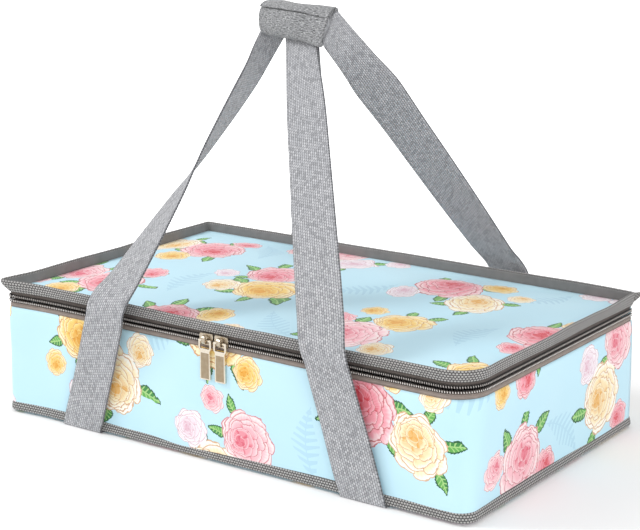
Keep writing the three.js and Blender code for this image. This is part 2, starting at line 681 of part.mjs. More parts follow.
// Where each point of a folded line lies across the webbing once the fold is opened flat
function acrossShares(line) {
  const reached = [0];
  for (let i = 1; i < line.length; i++) {
    const [out, up] = line[i];
    const [outBefore, upBefore] = line[i - 1];
    reached.push(reached[i - 1] + Math.hypot(out - outBefore, up - upBefore));
  }
  return reached.map((length) => length / reached.at(-1) - 1 / 2);
}

// A strap on the front (-1) or the back (1): its slot leg on one side, its end leg on the other
function strap(face, slotAlong, endTurn, directionAt, twistAt = noTwist) {
  const line = tubeLine();
  const toPad = -face;
  const end = face * (GRIP_LENGTH / 2 + END_CLEAR);
  const slotAlongs = ACROSS_shares.map((share) => slotAlong + face * share * WEBBING_WIDTH);
  const inside = line.map(([out, up]) =>
    [...slotAlongs, end].map((along) => inGrip(along, toPad * out, up)));

  const slotPoint = inGrip(slotAlong, toPad * TUBE_WEB_FROM_MIDDLE, TUBE_WEB_BOTTOM);
  const slotWay = (t) =>
    vec(1, 0, 0).lerp(alongGrip, smooth(t)).multiplyScalar(face).normalize();
  const slotLeg = legRows(legCurve(-face, face, [slotPoint]), slotWay, ACROSS_shares);

  const [reach, lean, drop] = endTurn;
  const curve = legCurve(face, face, [
    inGrip(end + face * reach, toPad * (TUBE_WEB_FROM_MIDDLE + lean), -drop),
    inGrip(end, toPad * TUBE_WEB_FROM_MIDDLE, 0),
  ]);
  const endLeg = legRows(curve, directionAt, acrossShares(line), twistAt).map((row, i) => {
    const t = i / LEG_ROWS;
    const centre = curve.getPointAt(t);
    return row.map((flat, j) => {
      const [out, up] = line[j];
      const fold = centre.clone()
        .addScaledVector(towardsFront, toPad * (out - TUBE_WEB_FROM_MIDDLE))
        .add(vec(0, 0, up));
      return flat.lerp(fold, foldedAt(t));
    });
  });
  return sheet([
    [...slotLeg.slice(0, -1), inside[0].slice(0, -1)],
    inside,
    [...endLeg.slice(0, -1), inside.map((row) => row.at(-1))],
  ], WEBBING);
}

// How far a leg that leaves by the end is folded together there
const foldedAt = (t) => smooth((t - 1 + FLATTEN_share) / FLATTEN_share);

// An even turn of a leg about its own line, from a share of its length to its top
const turning = (degrees, from) => (t) => rad(degrees) * Math.max(0, t - from) / (1 - from);

const frontStrap = () => strap(-1, FRONT_SLOT_ALONG,
  [FRONT_END_REACH, FRONT_END_LEAN, FRONT_END_DROP],
  () => vec(1, 0, 0),
  turning(FRONT_TURN, FRONT_TURN_FROM_share));

const backStrap = () => strap(1, BACK_SLOT_ALONG, [BACK_END_REACH, BACK_END_LEAN, 0],
  (t) => vec(1, 0, 0).lerp(vec(0, 0, 1), foldedAt(t)).normalize(),
  turning(BACK_TURN, BACK_TURN_FROM_share));

// A band round the grip between two radii and two angles
function arcBand(inner, outer, fromDegrees, toDegrees) {
  const steps = Math.ceil(Math.abs(toDegrees - fromDegrees) / GRIP_ARC_STEPS);
  const angles = Array.from({ length: steps + 1 }, (_, i) =>
    rad(mix(fromDegrees, toDegrees, i / steps)));
  const at = (radius) => (angle) =>
    new THREE.Vector2(-radius * Math.sin(angle), radius * Math.cos(angle));
  return [...angles.map(at(outer)), ...angles.map(at(inner)).reverse()];
}

// The grip's pieces are outlines in its Y and Z, carried along it
function gripPiece(points, length, bevel) {
  const geometry = new THREE.ExtrudeGeometry(new THREE.Shape(points), {
    depth: length - 2 * bevel, bevelEnabled: bevel > 0,
    bevelThickness: bevel, bevelSize: bevel, bevelOffset: -bevel, bevelSegments: 1,
  });
  const turn = new THREE.Matrix4().makeBasis(vec(0, 1, 0), vec(0, 0, 1), vec(1, 0, 0));
  return geometry.translate(0, 0, bevel - length / 2).applyMatrix4(turn);
}

const PAD_OUTER = GRIP_INNER_RADIUS + GRIP_PADDING;
const LOOP_INNER = GRIP_INNER_RADIUS + GRIP_LIP + FIT_GAP;
const HOOK_INNER = LOOP_INNER + HOOK_TAPE + FIT_GAP;
const FLAP_INNER = Math.max(HOOK_INNER + HOOK_TAPE, PAD_OUTER) + FIT_GAP;

function buildGrip() {
  const grip = new THREE.Group();
  grip.position.set(GRIP_X, 0, GRIP_Z);
  grip.rotation.z = gripTurn;
  root.add(grip);

  const thick = arcBand(GRIP_INNER_RADIUS, PAD_OUTER, FRONT_PAD_FROM, FRONT_PAD_TO);
  const lip = arcBand(GRIP_INNER_RADIUS, GRIP_INNER_RADIUS + GRIP_LIP, FRONT_LIP_FROM,
    FRONT_PAD_FROM + GRIP_ARC_STEPS);
  add('grip_front_pad', join([
    gripPiece(thick, GRIP_LENGTH, PAD_BEVEL), gripPiece(lip, GRIP_LENGTH, 0),
  ]), GRIP_CLOTH, grip);
  add('grip_back_pad', gripPiece(
    arcBand(GRIP_INNER_RADIUS, PAD_OUTER, BACK_PAD_FROM, BACK_PAD_TO),
    GRIP_LENGTH, PAD_BEVEL), GRIP_CLOTH, grip);
  const tapeLength = GRIP_LENGTH - 2 * GRIP_PADDING;
  add('loop_tape', gripPiece(
    arcBand(LOOP_INNER, LOOP_INNER + HOOK_TAPE, CLOSURE_FROM, CLOSURE_TO), tapeLength, 0),
  HOOKS, grip);
  add('hook_tape', gripPiece(
    arcBand(HOOK_INNER, HOOK_INNER + HOOK_TAPE, CLOSURE_FROM, CLOSURE_TO), tapeLength, 0),
  HOOKS, grip);
  add('grip_flap', gripPiece(
    arcBand(FLAP_INNER, FLAP_INNER + FLAP, FLAP_FROM, FLAP_TO), GRIP_LENGTH, 0),
  GRIP_CLOTH, grip);
}

buildTray();
buildLid();
buildSliders();
add('front_strap', frontStrap(), WEB);
add('back_strap', backStrap(), WEB);
buildGrip();

export default root;
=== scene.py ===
import math

import bmesh
import bpy
import numpy as np
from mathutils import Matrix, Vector


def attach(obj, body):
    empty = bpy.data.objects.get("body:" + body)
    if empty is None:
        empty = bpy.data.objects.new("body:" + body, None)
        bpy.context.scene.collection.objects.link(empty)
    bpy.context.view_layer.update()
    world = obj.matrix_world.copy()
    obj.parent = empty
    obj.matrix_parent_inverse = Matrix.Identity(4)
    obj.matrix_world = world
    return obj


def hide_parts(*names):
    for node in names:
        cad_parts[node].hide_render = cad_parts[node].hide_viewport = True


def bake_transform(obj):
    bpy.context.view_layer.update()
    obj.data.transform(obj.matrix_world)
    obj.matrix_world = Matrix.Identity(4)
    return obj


bl_info = {
    "name": "Casserole Carrier",
    "version": (1, 0, 0),
    "blender": (4, 5, 0),
    "location": "3D View > Sidebar > Carrier",
    "description": "Makes the looks of a quilted, zipped casserole carrier around its packed frame",
    "category": "Object",
}

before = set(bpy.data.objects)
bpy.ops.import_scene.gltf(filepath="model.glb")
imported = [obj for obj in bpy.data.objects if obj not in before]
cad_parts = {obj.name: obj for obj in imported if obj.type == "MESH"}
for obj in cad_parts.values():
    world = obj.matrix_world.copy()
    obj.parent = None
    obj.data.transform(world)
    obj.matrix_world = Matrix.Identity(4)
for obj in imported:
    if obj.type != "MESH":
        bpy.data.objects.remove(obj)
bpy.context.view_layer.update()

MM = 0.001

# Sizes in millimetres, as the frame has them
LENGTH, DEPTH = 417.0, 246.0
BASE_BOTTOM, WALL_HEIGHT, WALL_TOP = 1.8, 85.0, 86.8
PANEL_TOP, HEM_GAP = 2.4, 0.3
WALL_BOTTOM = PANEL_TOP + HEM_GAP
# Corner radii: right front at the floor and at the zip, left front, both at the back; the least
BOTTOM_RADIUS, TOP_RADIUS, LEFT_RADIUS, BACK_RADIUS = 10.0, 25.0, 5.0, 3.0
LEAST_RADIUS = 0.5
CORNERS_DEEP, CORNERS_LONG = 40.0, 50.0  # what the corners take of a side and of the front
# The left front corner is drawn out: the walls, the lip further than they, and how far round
CORNER_PULL, LIP_PULL, PULL_REACH = 3.8, 5.0, 24.0
LIP_PULL_LEVEL, LIP_PULL_RISE = 97.0, 8.0
LOWER_ROW, UPPER_ROW, ROW_HEIGHT = 90.8, 94.5, 2.1
CHAIN_INSET, CHAIN_PUSH = 1.15, 1.0
SLIDER_EDGE = 0.32 * MM
COIL_REACH, COIL_TAIL, COIL_DEPTH, COIL_WIRE = 1.05, 1.35, 0.85, 0.34
LIP_BOTTOM, LIP_TOP, LIP_LEAN = 99.0, 107.5, 2.0
FOLD_PLACE, FOLD_REACH = 330.0, 46.0  # of the fold in the lip, going round the outline
LID_EDGE, LID_INSET, LID_CROWN, LID_CROWN_INSET = 101.3, 2.9, 2.5, 49.0
LID_PRINT_START = np.array([631.0, 407.0])  # where the lid was cut from the printed cloth
FOAM_OUTER, FOAM_INNER, FOAM_BOTTOM, FOAM_TOP = 1.7, 5.7, 7.0, 86.3
FOAM_SPACING = 9.0
LINER_OUTER = 6.0
BACK_PANEL_INSET, BACK_PANEL_GAP = 2.6, 0.35
# Thickness of the printed cloth, the lining's film, the zip's tapes and the folded tapes
CLOTH, FILM, ZIP_TAPE, LIP_TAPE, HEM_TAPE, END_TAPE = 0.6, 0.3, 0.4, 0.6, 0.5, 1.0
WALL_FULLNESS = 2.6  # how flat-topped the walls' swelling is
# The webbing, where it leaves the base, stands off the wall and the rim, and meets the grip
STRAP_WIDTH, STRAP_THICKNESS = 38.0, 1.5
STRAP_SHEET = STRAP_THICKNESS - 0.1
BASE_STRAP_LEVEL = 0.78
FOOT_X, FOOT_OUT, PIVOT_Z = 131.0, 3.35, 0.75
FRONT_FOOT_SHIFT = -4.5
PIVOT_Y = DEPTH / 2 + FOOT_OUT
MIDDLE_OUT, RIM_OUT = 6.6, 11.0
RIM_X, TOP_X, BACK_RIM_SHIFT, BACK_TOP_SHIFT = 98.0, 88.0, -7.0, -9.0
BEND_RISE, FOOT_SKEW_HEIGHT = 22.0, 26.0
FOOT_RADIUS, FOOT_LEVEL = 1.05, 1.8
LEG_STEPS, STRAP_COLUMNS = 150, 13
SLOT_ALONG = 2.0  # the middle of the leg that goes up through the slot, along the grip
TUCK_START = 0.975  # share of a leg's length where it meets the pad and tucks in
# The grip, its own directions, and how square its round section is drawn
GRIP_CENTRE = np.array([-17.0, 0.0, 310.0])
GRIP_TURN = math.radians(-17.0)
GRIP_LENGTH, PAD_EXTRA = 68.0, 5.0
GRIP_SQUARENESS = 2.7
CORE_LENGTH, CORE_RADIUS = 70.0, 10.2
ALONG = np.array([math.cos(GRIP_TURN), math.sin(GRIP_TURN), 0.0])
TO_FRONT = np.array([math.sin(GRIP_TURN), -math.cos(GRIP_TURN), 0.0])
UP = np.array([0.0, 0.0, 1.0])
SLIDER_PIECES = {
    "slider_left": ("slider_left_body", "slider_left_crown"),
    "slider_right": ("slider_right_body", "slider_right_crown"),
    "left_pull": ("pull_left",),
    "right_pull": ("pull_right",),
}


# ---------------------------------------------------------------- shapes


def blend_between(a, b, t):
    """Straight mix: a where t is 0, b where t is 1."""
    return a + (b - a) * t


def eased(t):
    """Smooth step: 3 t squared minus 2 t cubed, with t held between 0 and 1."""
    t = np.clip(t, 0.0, 1.0)
    return t * t * (3.0 - 2.0 * t)


def hump(t, sharpness):
    """Flat-topped hump over 0..1: (1 - |2t - 1| to the power n) to the power 1/n."""
    inner = np.clip(1.0 - np.abs(2.0 * t - 1.0) ** sharpness, 0.0, 1.0)
    return inner ** (1.0 / sharpness)


def ripple(u, v, wavelength, seed, waves=7):
    """Soft unevenness of cloth: the sum of sines in seeded directions, over their count's root."""
    draw = np.random.default_rng(seed)
    total = np.zeros(np.broadcast(u, v).shape)
    for angle, phase, stretch in draw.random((waves, 3)):
        turn = 2.0 * math.pi * angle
        reach = wavelength * (0.6 + 0.9 * stretch)
        step = (u * math.cos(turn) + v * math.sin(turn)) * 2.0 * math.pi / reach
        total = total + np.sin(step + 2.0 * math.pi * phase)
    return total / math.sqrt(waves)


def front_radius(z):
    """Radius of the right front corner: it grows evenly from the floor to the zip."""
    share = np.clip((z - BASE_BOTTOM) / WALL_HEIGHT, 0.0, 1.0)
    return blend_between(BOTTOM_RADIUS, TOP_RADIUS, share)


def pulled(points, z):
    """Draws the left front corner outwards: by an amount that fades as exp(-(distance/reach)^2).

    The lip is drawn out further than the walls below it."""
    corner = np.array([-LENGTH / 2, -DEPTH / 2])
    away = np.linalg.norm(points - corner, axis=-1)
    amount = CORNER_PULL + LIP_PULL * eased((z - LIP_PULL_LEVEL) / LIP_PULL_RISE)
    fade = amount * np.exp(-((away / PULL_REACH) ** 2)) / math.sqrt(2.0)
    return points - fade[..., None]


def arc(centre_x, centre_y, radius, start, end, steps):
    """Arc points: centre + radius (cos a, sin a), with its outward direction (cos a, sin a)."""
    angle = np.radians(np.linspace(start, end, steps + 1))[None, :]
    out = np.stack([np.cos(angle) + 0.0 * radius, np.sin(angle) + 0.0 * radius], -1)
    return np.stack([centre_x, centre_y], -1) + radius[..., None] * out, out


def run(start, end, out, steps):
    """Straight run: start + t (end - start), all with one outward direction."""
    t = np.linspace(0.0, 1.0, steps + 1)[None, :, None]
    points = start[:, None, :] + t * (end - start)[:, None, :]
    return points, np.broadcast_to(np.array(out, float), points.shape)


def outline(inset, z, whole=True, setback=0.0, spacing=4.0, corner=14):
    """The case's outline at each level: straight runs and corner arcs, inset from the wall's face.

    Gives the points (levels, stations, 2), their outward directions and how far round each is."""
    inset, z = (np.asarray(value, float).reshape(-1) for value in np.broadcast_arrays(inset, z))
    radius = np.maximum(front_radius(z) - inset, LEAST_RADIUS)[:, None]
    half_x = (LENGTH / 2 - inset)[:, None]
    half_y = (DEPTH / 2 - inset)[:, None]
    back = np.maximum(BACK_RADIUS - inset, LEAST_RADIUS)[:, None]
    left = np.maximum(LEFT_RADIUS - inset, LEAST_RADIUS)[:, None]
    left_x, left_y = half_x - left, half_y - left
    top_y = half_y - back if whole else np.full_like(half_y, DEPTH / 2 - setback)
    side = max(2, int((DEPTH - CORNERS_DEEP) / spacing))
    wide = max(2, int((LENGTH - CORNERS_LONG) / spacing))
    near_x, near_y = half_x - radius, half_y - radius
    pair = lambda x, y: np.concatenate([x, y], 1)
    parts = [
        run(pair(-half_x, top_y), pair(-half_x, -left_y), (-1, 0), side),
        arc(-left_x, -left_y, left, 180, 270, corner),
        run(pair(-left_x, -half_y), pair(near_x, -half_y), (0, -1), wide),
        arc(near_x, -near_y, radius, 270, 360, corner),
        run(pair(half_x, -near_y), pair(half_x, top_y), (1, 0), side),
    ]
    if whole:
        far_x, far_y = half_x - back, half_y - back
        parts += [
            arc(far_x, far_y, back, 0, 90, 4),
            run(pair(far_x, half_y), pair(-far_x, half_y), (0, 1), wide),
            arc(-far_x, far_y, back, 90, 180, 4),
        ]
    points = np.concatenate([p if i == 0 else p[:, 1:] for i, (p, _) in enumerate(parts)], 1)
    out = np.concatenate([o if i == 0 else o[:, 1:] for i, (_, o) in enumerate(parts)], 1)
    steps = np.linalg.norm(np.diff(points[len(points) // 2], axis=0), axis=1)
    return pulled(points, z[:, None]), out, np.concatenate([[0.0], np.cumsum(steps)])


def carried(profile, whole=True, setback=0.0, spacing=4.0, push=None, lift=None):
    """A profile of [inset, level] carried round the outline, as a grid with its cloth coordinates.

    push and lift are functions of (way round, way up) that move it outwards and upwards."""
    profile = np.asarray(profile, float)
    points, out, round_ = outline(profile[:, 0], profile[:, 1], whole, setback, spacing)
    climb = np.concatenate([[0.0], np.cumsum(np.linalg.norm(np.diff(profile, axis=0), axis=1))])
    u = np.broadcast_to(round_[None, :], points.shape[:2])
    v = np.broadcast_to(climb[:, None], points.shape[:2])
    level = np.broadcast_to(profile[:, 1][:, None], points.shape[:2])
    if push is not None:
        points = points + out * push(u, v)[..., None]
    if lift is not None:
        level = level + lift(u, v)
    return np.concatenate([points, level[..., None]], -1), np.stack([u, v], -1)


def finer(profile, steps):
    """Points along straight pieces of a profile, each cut into the same number of steps."""
    profile = np.asarray(profile, float)
    t = np.arange(steps) / steps
    body = profile[:-1, None] + t[None, :, None] * (profile[1:] - profile[:-1])[:, None]
    return np.concatenate([body.reshape(-1, profile.shape[1]), profile[-1:]])


def rounded(profile, steps):
    """A smooth line through a profile's points: centripetal spline, evenly cut."""
    return spline(np.asarray(profile, float), steps * (len(profile) - 1))


def new_piece(name, grids, finish, thickness=0.0, offset=-1.0, even=True):
    """One mesh from grids of points (rows, columns, 3) in mm with their cloth coordinates in mm.

    Points that coincide become one, and a quad that closes to a point becomes a triangle."""
    points = np.concatenate([g.reshape(-1, 3) for g, _ in grids])
    cloth = np.concatenate([c.reshape(-1, 2) for _, c in grids])
    quads, start = [], 0
    for grid, _ in grids:
        rows, columns = grid.shape[:2]
        index = start + np.arange(rows * columns).reshape(rows, columns)
        square = [index[:-1, :-1], index[:-1, 1:], index[1:, 1:], index[1:, :-1]]
        quads.append(np.stack(square, -1).reshape(-1, 4))
        start += rows * columns
    quads = np.concatenate(quads)
    _, first, same = np.unique(np.round(points, 3), axis=0, return_index=True, return_inverse=True)
    same = same.reshape(-1)
    corners = same[quads]
    repeated = corners == np.roll(corners, -1, axis=1)
    whole, closing = repeated.sum(1) == 0, repeated.sum(1) == 1
    keep = ~repeated[closing]
    loops = np.concatenate([corners[whole].ravel(), corners[closing][keep]])
    loop_cloth = cloth[np.concatenate([quads[whole].ravel(), quads[closing][keep]])] * MM
    sizes = np.concatenate([np.full(whole.sum(), 4), np.full(closing.sum(), 3)])
    mesh = bpy.data.meshes.new(name)
    mesh.vertices.add(len(first))
    mesh.vertices.foreach_set("co", (points[first] * MM).ravel())
    mesh.loops.add(len(loops))
    mesh.loops.foreach_set("vertex_index", loops)
    mesh.polygons.add(len(sizes))
    mesh.polygons.foreach_set("loop_start", np.concatenate([[0], np.cumsum(sizes)[:-1]]))
    mesh.polygons.foreach_set("loop_total", sizes)
    mesh.polygons.foreach_set("use_smooth", np.ones(len(sizes), bool))
    mesh.update(calc_edges=True)
    mesh.uv_layers.new(name="cloth").data.foreach_set("uv", loop_cloth.ravel())
    piece = bpy.data.objects.new(name, mesh)
    bpy.context.scene.collection.objects.link(piece)
    mesh.materials.append(finish)
    if thickness:
        solid = piece.modifiers.new("thickness", "SOLIDIFY")
        solid.thickness = thickness * MM
        solid.offset = offset
        solid.use_even_offset = even
    return piece


def mesh_points(mesh):
    """A mesh's points, in metres."""
    points = np.empty(len(mesh.vertices) * 3)
    mesh.vertices.foreach_get("co", points)
    return points.reshape(-1, 3)


def turned_out(piece):
    """Turns a closed mesh's faces outwards where its signed volume is below zero."""
    work = bmesh.new()
    work.from_mesh(piece.data)
    if work.calc_volume(signed=True) < 0:
        bmesh.ops.reverse_faces(work, faces=work.faces)
    work.to_mesh(piece.data)
    work.free()
    return piece


def pillow(name, middle, out, cloth, thickness, finish, round_u, round_v, lumps=0.0):
    """A padded piece on a middle surface: middle + and - out times half its thickness.

    The thickness is a flat-topped hump over both ways, so it closes at its borders. It is
    even along the piece where round_u is None, which is for a band that meets itself."""
    rows, columns = middle.shape[:2]
    across = hump(np.linspace(0.0, 1.0, rows), round_v)[:, None]
    along = np.ones(columns) if round_u is None else hump(np.linspace(0.0, 1.0, columns), round_u)
    puff = thickness / 2 * across * along[None, :]
    if lumps:
        puff = puff * (1.0 + lumps * ripple(cloth[..., 0], cloth[..., 1], 26.0, 5))
    upper, lower = middle + out * puff[..., None], middle - out * puff[..., None]
    return turned_out(new_piece(name, [(upper, cloth), (lower[:, ::-1], cloth[:, ::-1])], finish))


def spline(points, steps):
    """A centripetal spline through the points, cut into equal lengths.

    Each tangent is that of the parabola through three points, with the square roots of the
    distances between them as its times; the curve between is the cubic with those tangents."""
    points = np.asarray(points, float)
    ends = np.concatenate([[2 * points[0] - points[1]], points, [2 * points[-1] - points[-2]]])
    before, a, b, after = ends[:-3], ends[1:-2], ends[2:-1], ends[3:]
    gap = lambda p, q: np.maximum(np.sqrt(np.linalg.norm(q - p, axis=1)), 1e-4)[:, None]
    t0, t1, t2 = gap(before, a), gap(a, b), gap(b, after)
    from_ = ((a - before) / t0 - (b - before) / (t0 + t1) + (b - a) / t1) * t1
    to = ((b - a) / t1 - (after - a) / (t1 + t2) + (after - b) / t2) * t1
    t = np.linspace(0.0, 1.0, 81)[None, :-1, None]
    a, b, from_, to = a[:, None], b[:, None], from_[:, None], to[:, None]
    cubic = (2 * a - 2 * b + from_ + to) * t**3 + (-3 * a + 3 * b - 2 * from_ - to) * t**2
    fine = np.concatenate([(cubic + from_ * t + a).reshape(-1, points.shape[1]), points[-1:]])
    length = np.concatenate([[0.0], np.cumsum(np.linalg.norm(np.diff(fine, axis=0), axis=1))])
    want = np.linspace(0.0, length[-1], steps + 1)
    return np.stack([np.interp(want, length, fine[:, i]) for i in range(points.shape[1])], 1)


def tangents(line):
    """Unit direction along a line at each of its points."""
    way = np.gradient(line, axis=0)
    return way / np.linalg.norm(way, axis=1, keepdims=True)


def turned(vectors, axes, angles):
    """Each vector turned about its own unit axis: v cos a + (k x v) sin a + k (k.v)(1 - cos a)."""
    c, s = np.cos(angles)[:, None], np.sin(angles)[:, None]
    along = np.sum(vectors * axes, 1, keepdims=True)
    return vectors * c + np.cross(axes, vectors) * s + axes * along * (1 - c)


# ---------------------------------------------------------------- finishes


def colour(code, alpha=1.0):
    """A hex colour as the linear values that shaders take."""
    parts = [int(code[i : i + 2], 16) / 255 for i in (0, 2, 4)]
    linear = [c / 12.92 if c <= 0.04045 else ((c + 0.055) / 1.055) ** 2.4 for c in parts]
    return (*linear, alpha)


class Term:
    """One value in a finish, which can be added to and multiplied like a number."""

    def __init__(self, sums, socket):
        self.sums, self.socket = sums, socket

    def __add__(self, other):
        return self.sums.math("ADD", self, other)

    def __sub__(self, other):
        return self.sums.math("SUBTRACT", self, other)

    def __rsub__(self, other):
        return self.sums.math("SUBTRACT", other, self)

    def __mul__(self, other):
        return self.sums.math("MULTIPLY", self, other)

    def __truediv__(self, other):
        return self.sums.math("DIVIDE", self, other)

    def __lt__(self, other):
        return self.sums.math("LESS_THAN", self, other)

    def __gt__(self, other):
        return self.sums.math("GREATER_THAN", self, other)

    __radd__ = __add__
    __rmul__ = __mul__


class Sums:
    """Writes a finish's sums as shader nodes; each method adds its nodes and gives their result."""

    def __init__(self, tree):
        self.tree = tree

    def node(self, kind, values=(), sockets=None, **settings):
        """A node with its settings, and values in its sockets: in order, or in those numbered."""
        made = self.tree.nodes.new(kind)
        for key, value in settings.items():
            setattr(made, key, value)
        for socket, value in zip(sockets or range(len(values)), values):
            self.put(made.inputs[socket], value)
        return made

    def put(self, socket, value):
        """Joins a term to a socket, or sets a plain value there."""
        if isinstance(value, Term):
            self.tree.links.new(value.socket, socket)
        else:
            socket.default_value = value

    def first(self, made):
        return Term(self, made.outputs[0])

    def math(self, operation, *values):
        """One of the shader's own sums, by its name there."""
        return self.first(self.node("ShaderNodeMath", values, operation=operation))

    def fract(self, value):
        return self.math("FRACT", value)

    def floor(self, value):
        return self.math("FLOOR", value)

    def size(self, value):
        return self.math("ABSOLUTE", value)

    def sine(self, value):
        return self.math("SINE", value)

    def most(self, a, b):
        return self.math("MAXIMUM", a, b)

    def far(self, x, y):
        """Length of (x, y)."""
        return self.math("SQRT", self.math("MULTIPLY_ADD", x, x, y * y))

    def turn(self, y, x, count=1.0):
        """The angle of (x, y) in turns, times a count."""
        return self.math("ARCTAN2", y, x) * (count / (2.0 * math.pi))

    def turned(self, x, y, angle):
        """The point (x, y) turned back by an angle."""
        c, s = self.math("COSINE", angle), self.sine(angle)
        return x * c + y * s, y * c - x * s

    def ease(self, value, low, high, to_low=0.0, to_high=1.0):
        """Smooth step from to_low at low to to_high at high."""
        values = (value, low, high, to_low, to_high)
        return self.first(self.node("ShaderNodeMapRange", values, interpolation_type="SMOOTHSTEP"))

    def pick(self, share, a, b):
        """a where share is 0 and b where it is 1, for numbers."""
        return self.first(self.node("ShaderNodeMix", (share, a, b), (0, 2, 3), data_type="FLOAT"))

    def tint(self, share, a, b):
        """a where share is 0 and b where it is 1, for colours."""
        made = self.node("ShaderNodeMix", (share, a, b), (0, 6, 7), data_type="RGBA")
        return Term(self, made.outputs[2])

    def point(self, x, y, z=0.0):
        return self.first(self.node("ShaderNodeCombineXYZ", (x, y, z)))

    def metres(self, x, y):
        """The point (x, y), given in millimetres."""
        return self.point(x * MM, y * MM)

    def parts(self, vector):
        """The three parts of a vector."""
        return [Term(self, out) for out in self.node("ShaderNodeSeparateXYZ", (vector,)).outputs]

    def chance(self, x, y):
        """Three numbers from 0 to 1 that depend only on x and y."""
        made = self.node("ShaderNodeTexWhiteNoise", noise_dimensions="3D")
        self.put(made.inputs["Vector"], self.point(x, y, 0.37))
        split = self.node("ShaderNodeSeparateColor", (Term(self, made.outputs["Color"]),))
        return [Term(self, out) for out in split.outputs[:3]]

    def noise(self, vector, scale, detail=2.0, rough=0.5):
        """Cloudy unevenness from 0 to 1, with scale spots to one unit of the vector."""
        values = (vector, scale, detail, rough)
        made = self.node("ShaderNodeTexNoise", values, ("Vector", "Scale", "Detail", "Roughness"))
        return Term(self, made.outputs["Fac"])

    def steps(self, value, codes):
        """One of several colours, by which equal part of 0..1 the value lies in."""
        made = self.node("ShaderNodeValToRGB", (value,))
        ramp = made.color_ramp
        ramp.interpolation = "CONSTANT"
        while len(ramp.elements) < len(codes):
            ramp.elements.new(1.0)
        for i, (element, code) in enumerate(zip(ramp.elements, codes)):
            element.position = i / len(codes)
            element.color = colour(code)
        return self.first(made)

    def cloth_millimetres(self):
        """The piece's own cloth coordinates in millimetres."""
        x, y, _ = self.parts(self.first(self.node("ShaderNodeUVMap", uv_map="cloth")))
        return x * 1000.0, y * 1000.0

    def place(self):
        """Object coordinates, in metres."""
        return Term(self, self.node("ShaderNodeTexCoord").outputs["Object"])


def new_finish(name, roughness, metallic=0.0, sheen=0.0, specular=0.5):
    """An empty finish: its sums and the shader that they feed. Steady values sit on the shader."""
    made = bpy.data.materials.new(name)
    made.use_nodes = True
    shader = made.node_tree.nodes["Principled BSDF"]
    shader.inputs["Roughness"].default_value = roughness
    shader.inputs["Metallic"].default_value = metallic
    shader.inputs["Sheen Weight"].default_value = sheen
    shader.inputs["Specular IOR Level"].default_value = specular
    return made, Sums(made.node_tree), shader


def finish_with(sums, shader, base, height=None, strength=0.3, depth=0.0004, roughness=None):
    """Joins a finish's colour, and its relief where it has one, to the shader."""
    sums.put(shader.inputs["Base Color"], base)
    if roughness is not None:
        sums.put(shader.inputs["Roughness"], roughness)
    if height is not None:
        bump = sums.node("ShaderNodeBump")
        bump.inputs["Strength"].default_value = strength
        bump.inputs["Distance"].default_value = depth
        sums.put(bump.inputs["Height"], height)
        sums.tree.links.new(bump.outputs[0], shader.inputs["Normal"])


# A bloom's rings of petals, from the outermost: size, petals, how far and which way it sits off
BLOOM_RINGS = [
    (1.00, 7, 0.00, 0.0), (0.87, 6, 0.05, 1.4), (0.74, 6, 0.10, 2.0), (0.61, 5, 0.15, 1.6),
    (0.48, 5, 0.20, 2.1), (0.35, 4, 0.24, 1.7), (0.22, 3, 0.27, 2.0),
]
# What grows in one sprig: across, up and radius in millimetres, from the one at the back
SPRIG_BLOOMS = [
    (42.0, 21.0, 11.0), (-37.0, -26.0, 13.5), (10.0, 35.0, 15.5), (24.0, -14.0, 24.0),
    (-17.0, 7.0, 28.5),
]
SPRIG_LEAVES = (6.0, 7.0)  # round the last two blooms
BLOOM_REACH = 0.90  # past this share of its radius a bloom leaves room for another
REPEAT_WIDE, REPEAT_HIGH = 131.0, 115.0
JITTER_WIDE, JITTER_HIGH = 14.0, 10.0
FULL_TURN = 2.0 * math.pi
# One bloom's pale, middle and deep colours: yellow, pink, cream, rose, lilac
PALE = ["fdf0cc", "fdeaea", "fffcf3", "fbdde0", "fdf8fb"]
MIDDLE = ["f6d27a", "f8c3cb", "fbe9bf", "f5a3b0", "f4e6ee"]
DEEP = ["e39c30", "df6479", "e8ac52", "d8434f", "dfb4c4"]


def bloom(sums, x, y, seed):
    """A rose seen from above, in its own radius: depth of its colour, its outline and its extent.

    Each ring's rim is 0.87 + 0.13 sin(pi t^0.62) over a petal, t the share of the petal passed;
    the rings lie off centre on each other, pale at the rim and deep where the next covers them."""
    depth, line, extent = 0.0, 0.0, None
    for ring, (size, petals, off, way) in enumerate(BLOOM_RINGS):
        dx, dy = x - off * math.cos(way), y - off * math.sin(way)
        t = sums.fract(sums.turn(dy, dx, petals) + (seed * 7.0 + 0.37 * ring))
        rim = sums.sine(sums.math("POWER", t, 0.62) * math.pi) * 0.13 + 0.87
        share = sums.far(dx, dy) / size / rim
        within = share < 1.0
        tucked = sums.ease(share, 0.74, 1.0, 1.0, 0.0)
        fold = sums.ease(t, 0.0, 0.35, 1.0, 0.0)
        tone = tucked * 0.42 + fold * 0.2 + 0.075 * ring
        drawn = sums.most(share > 0.962, t < 0.03)
        depth, line = sums.pick(within, depth, tone), sums.pick(within, line, drawn)
        extent = extent or within
    return depth, line, extent


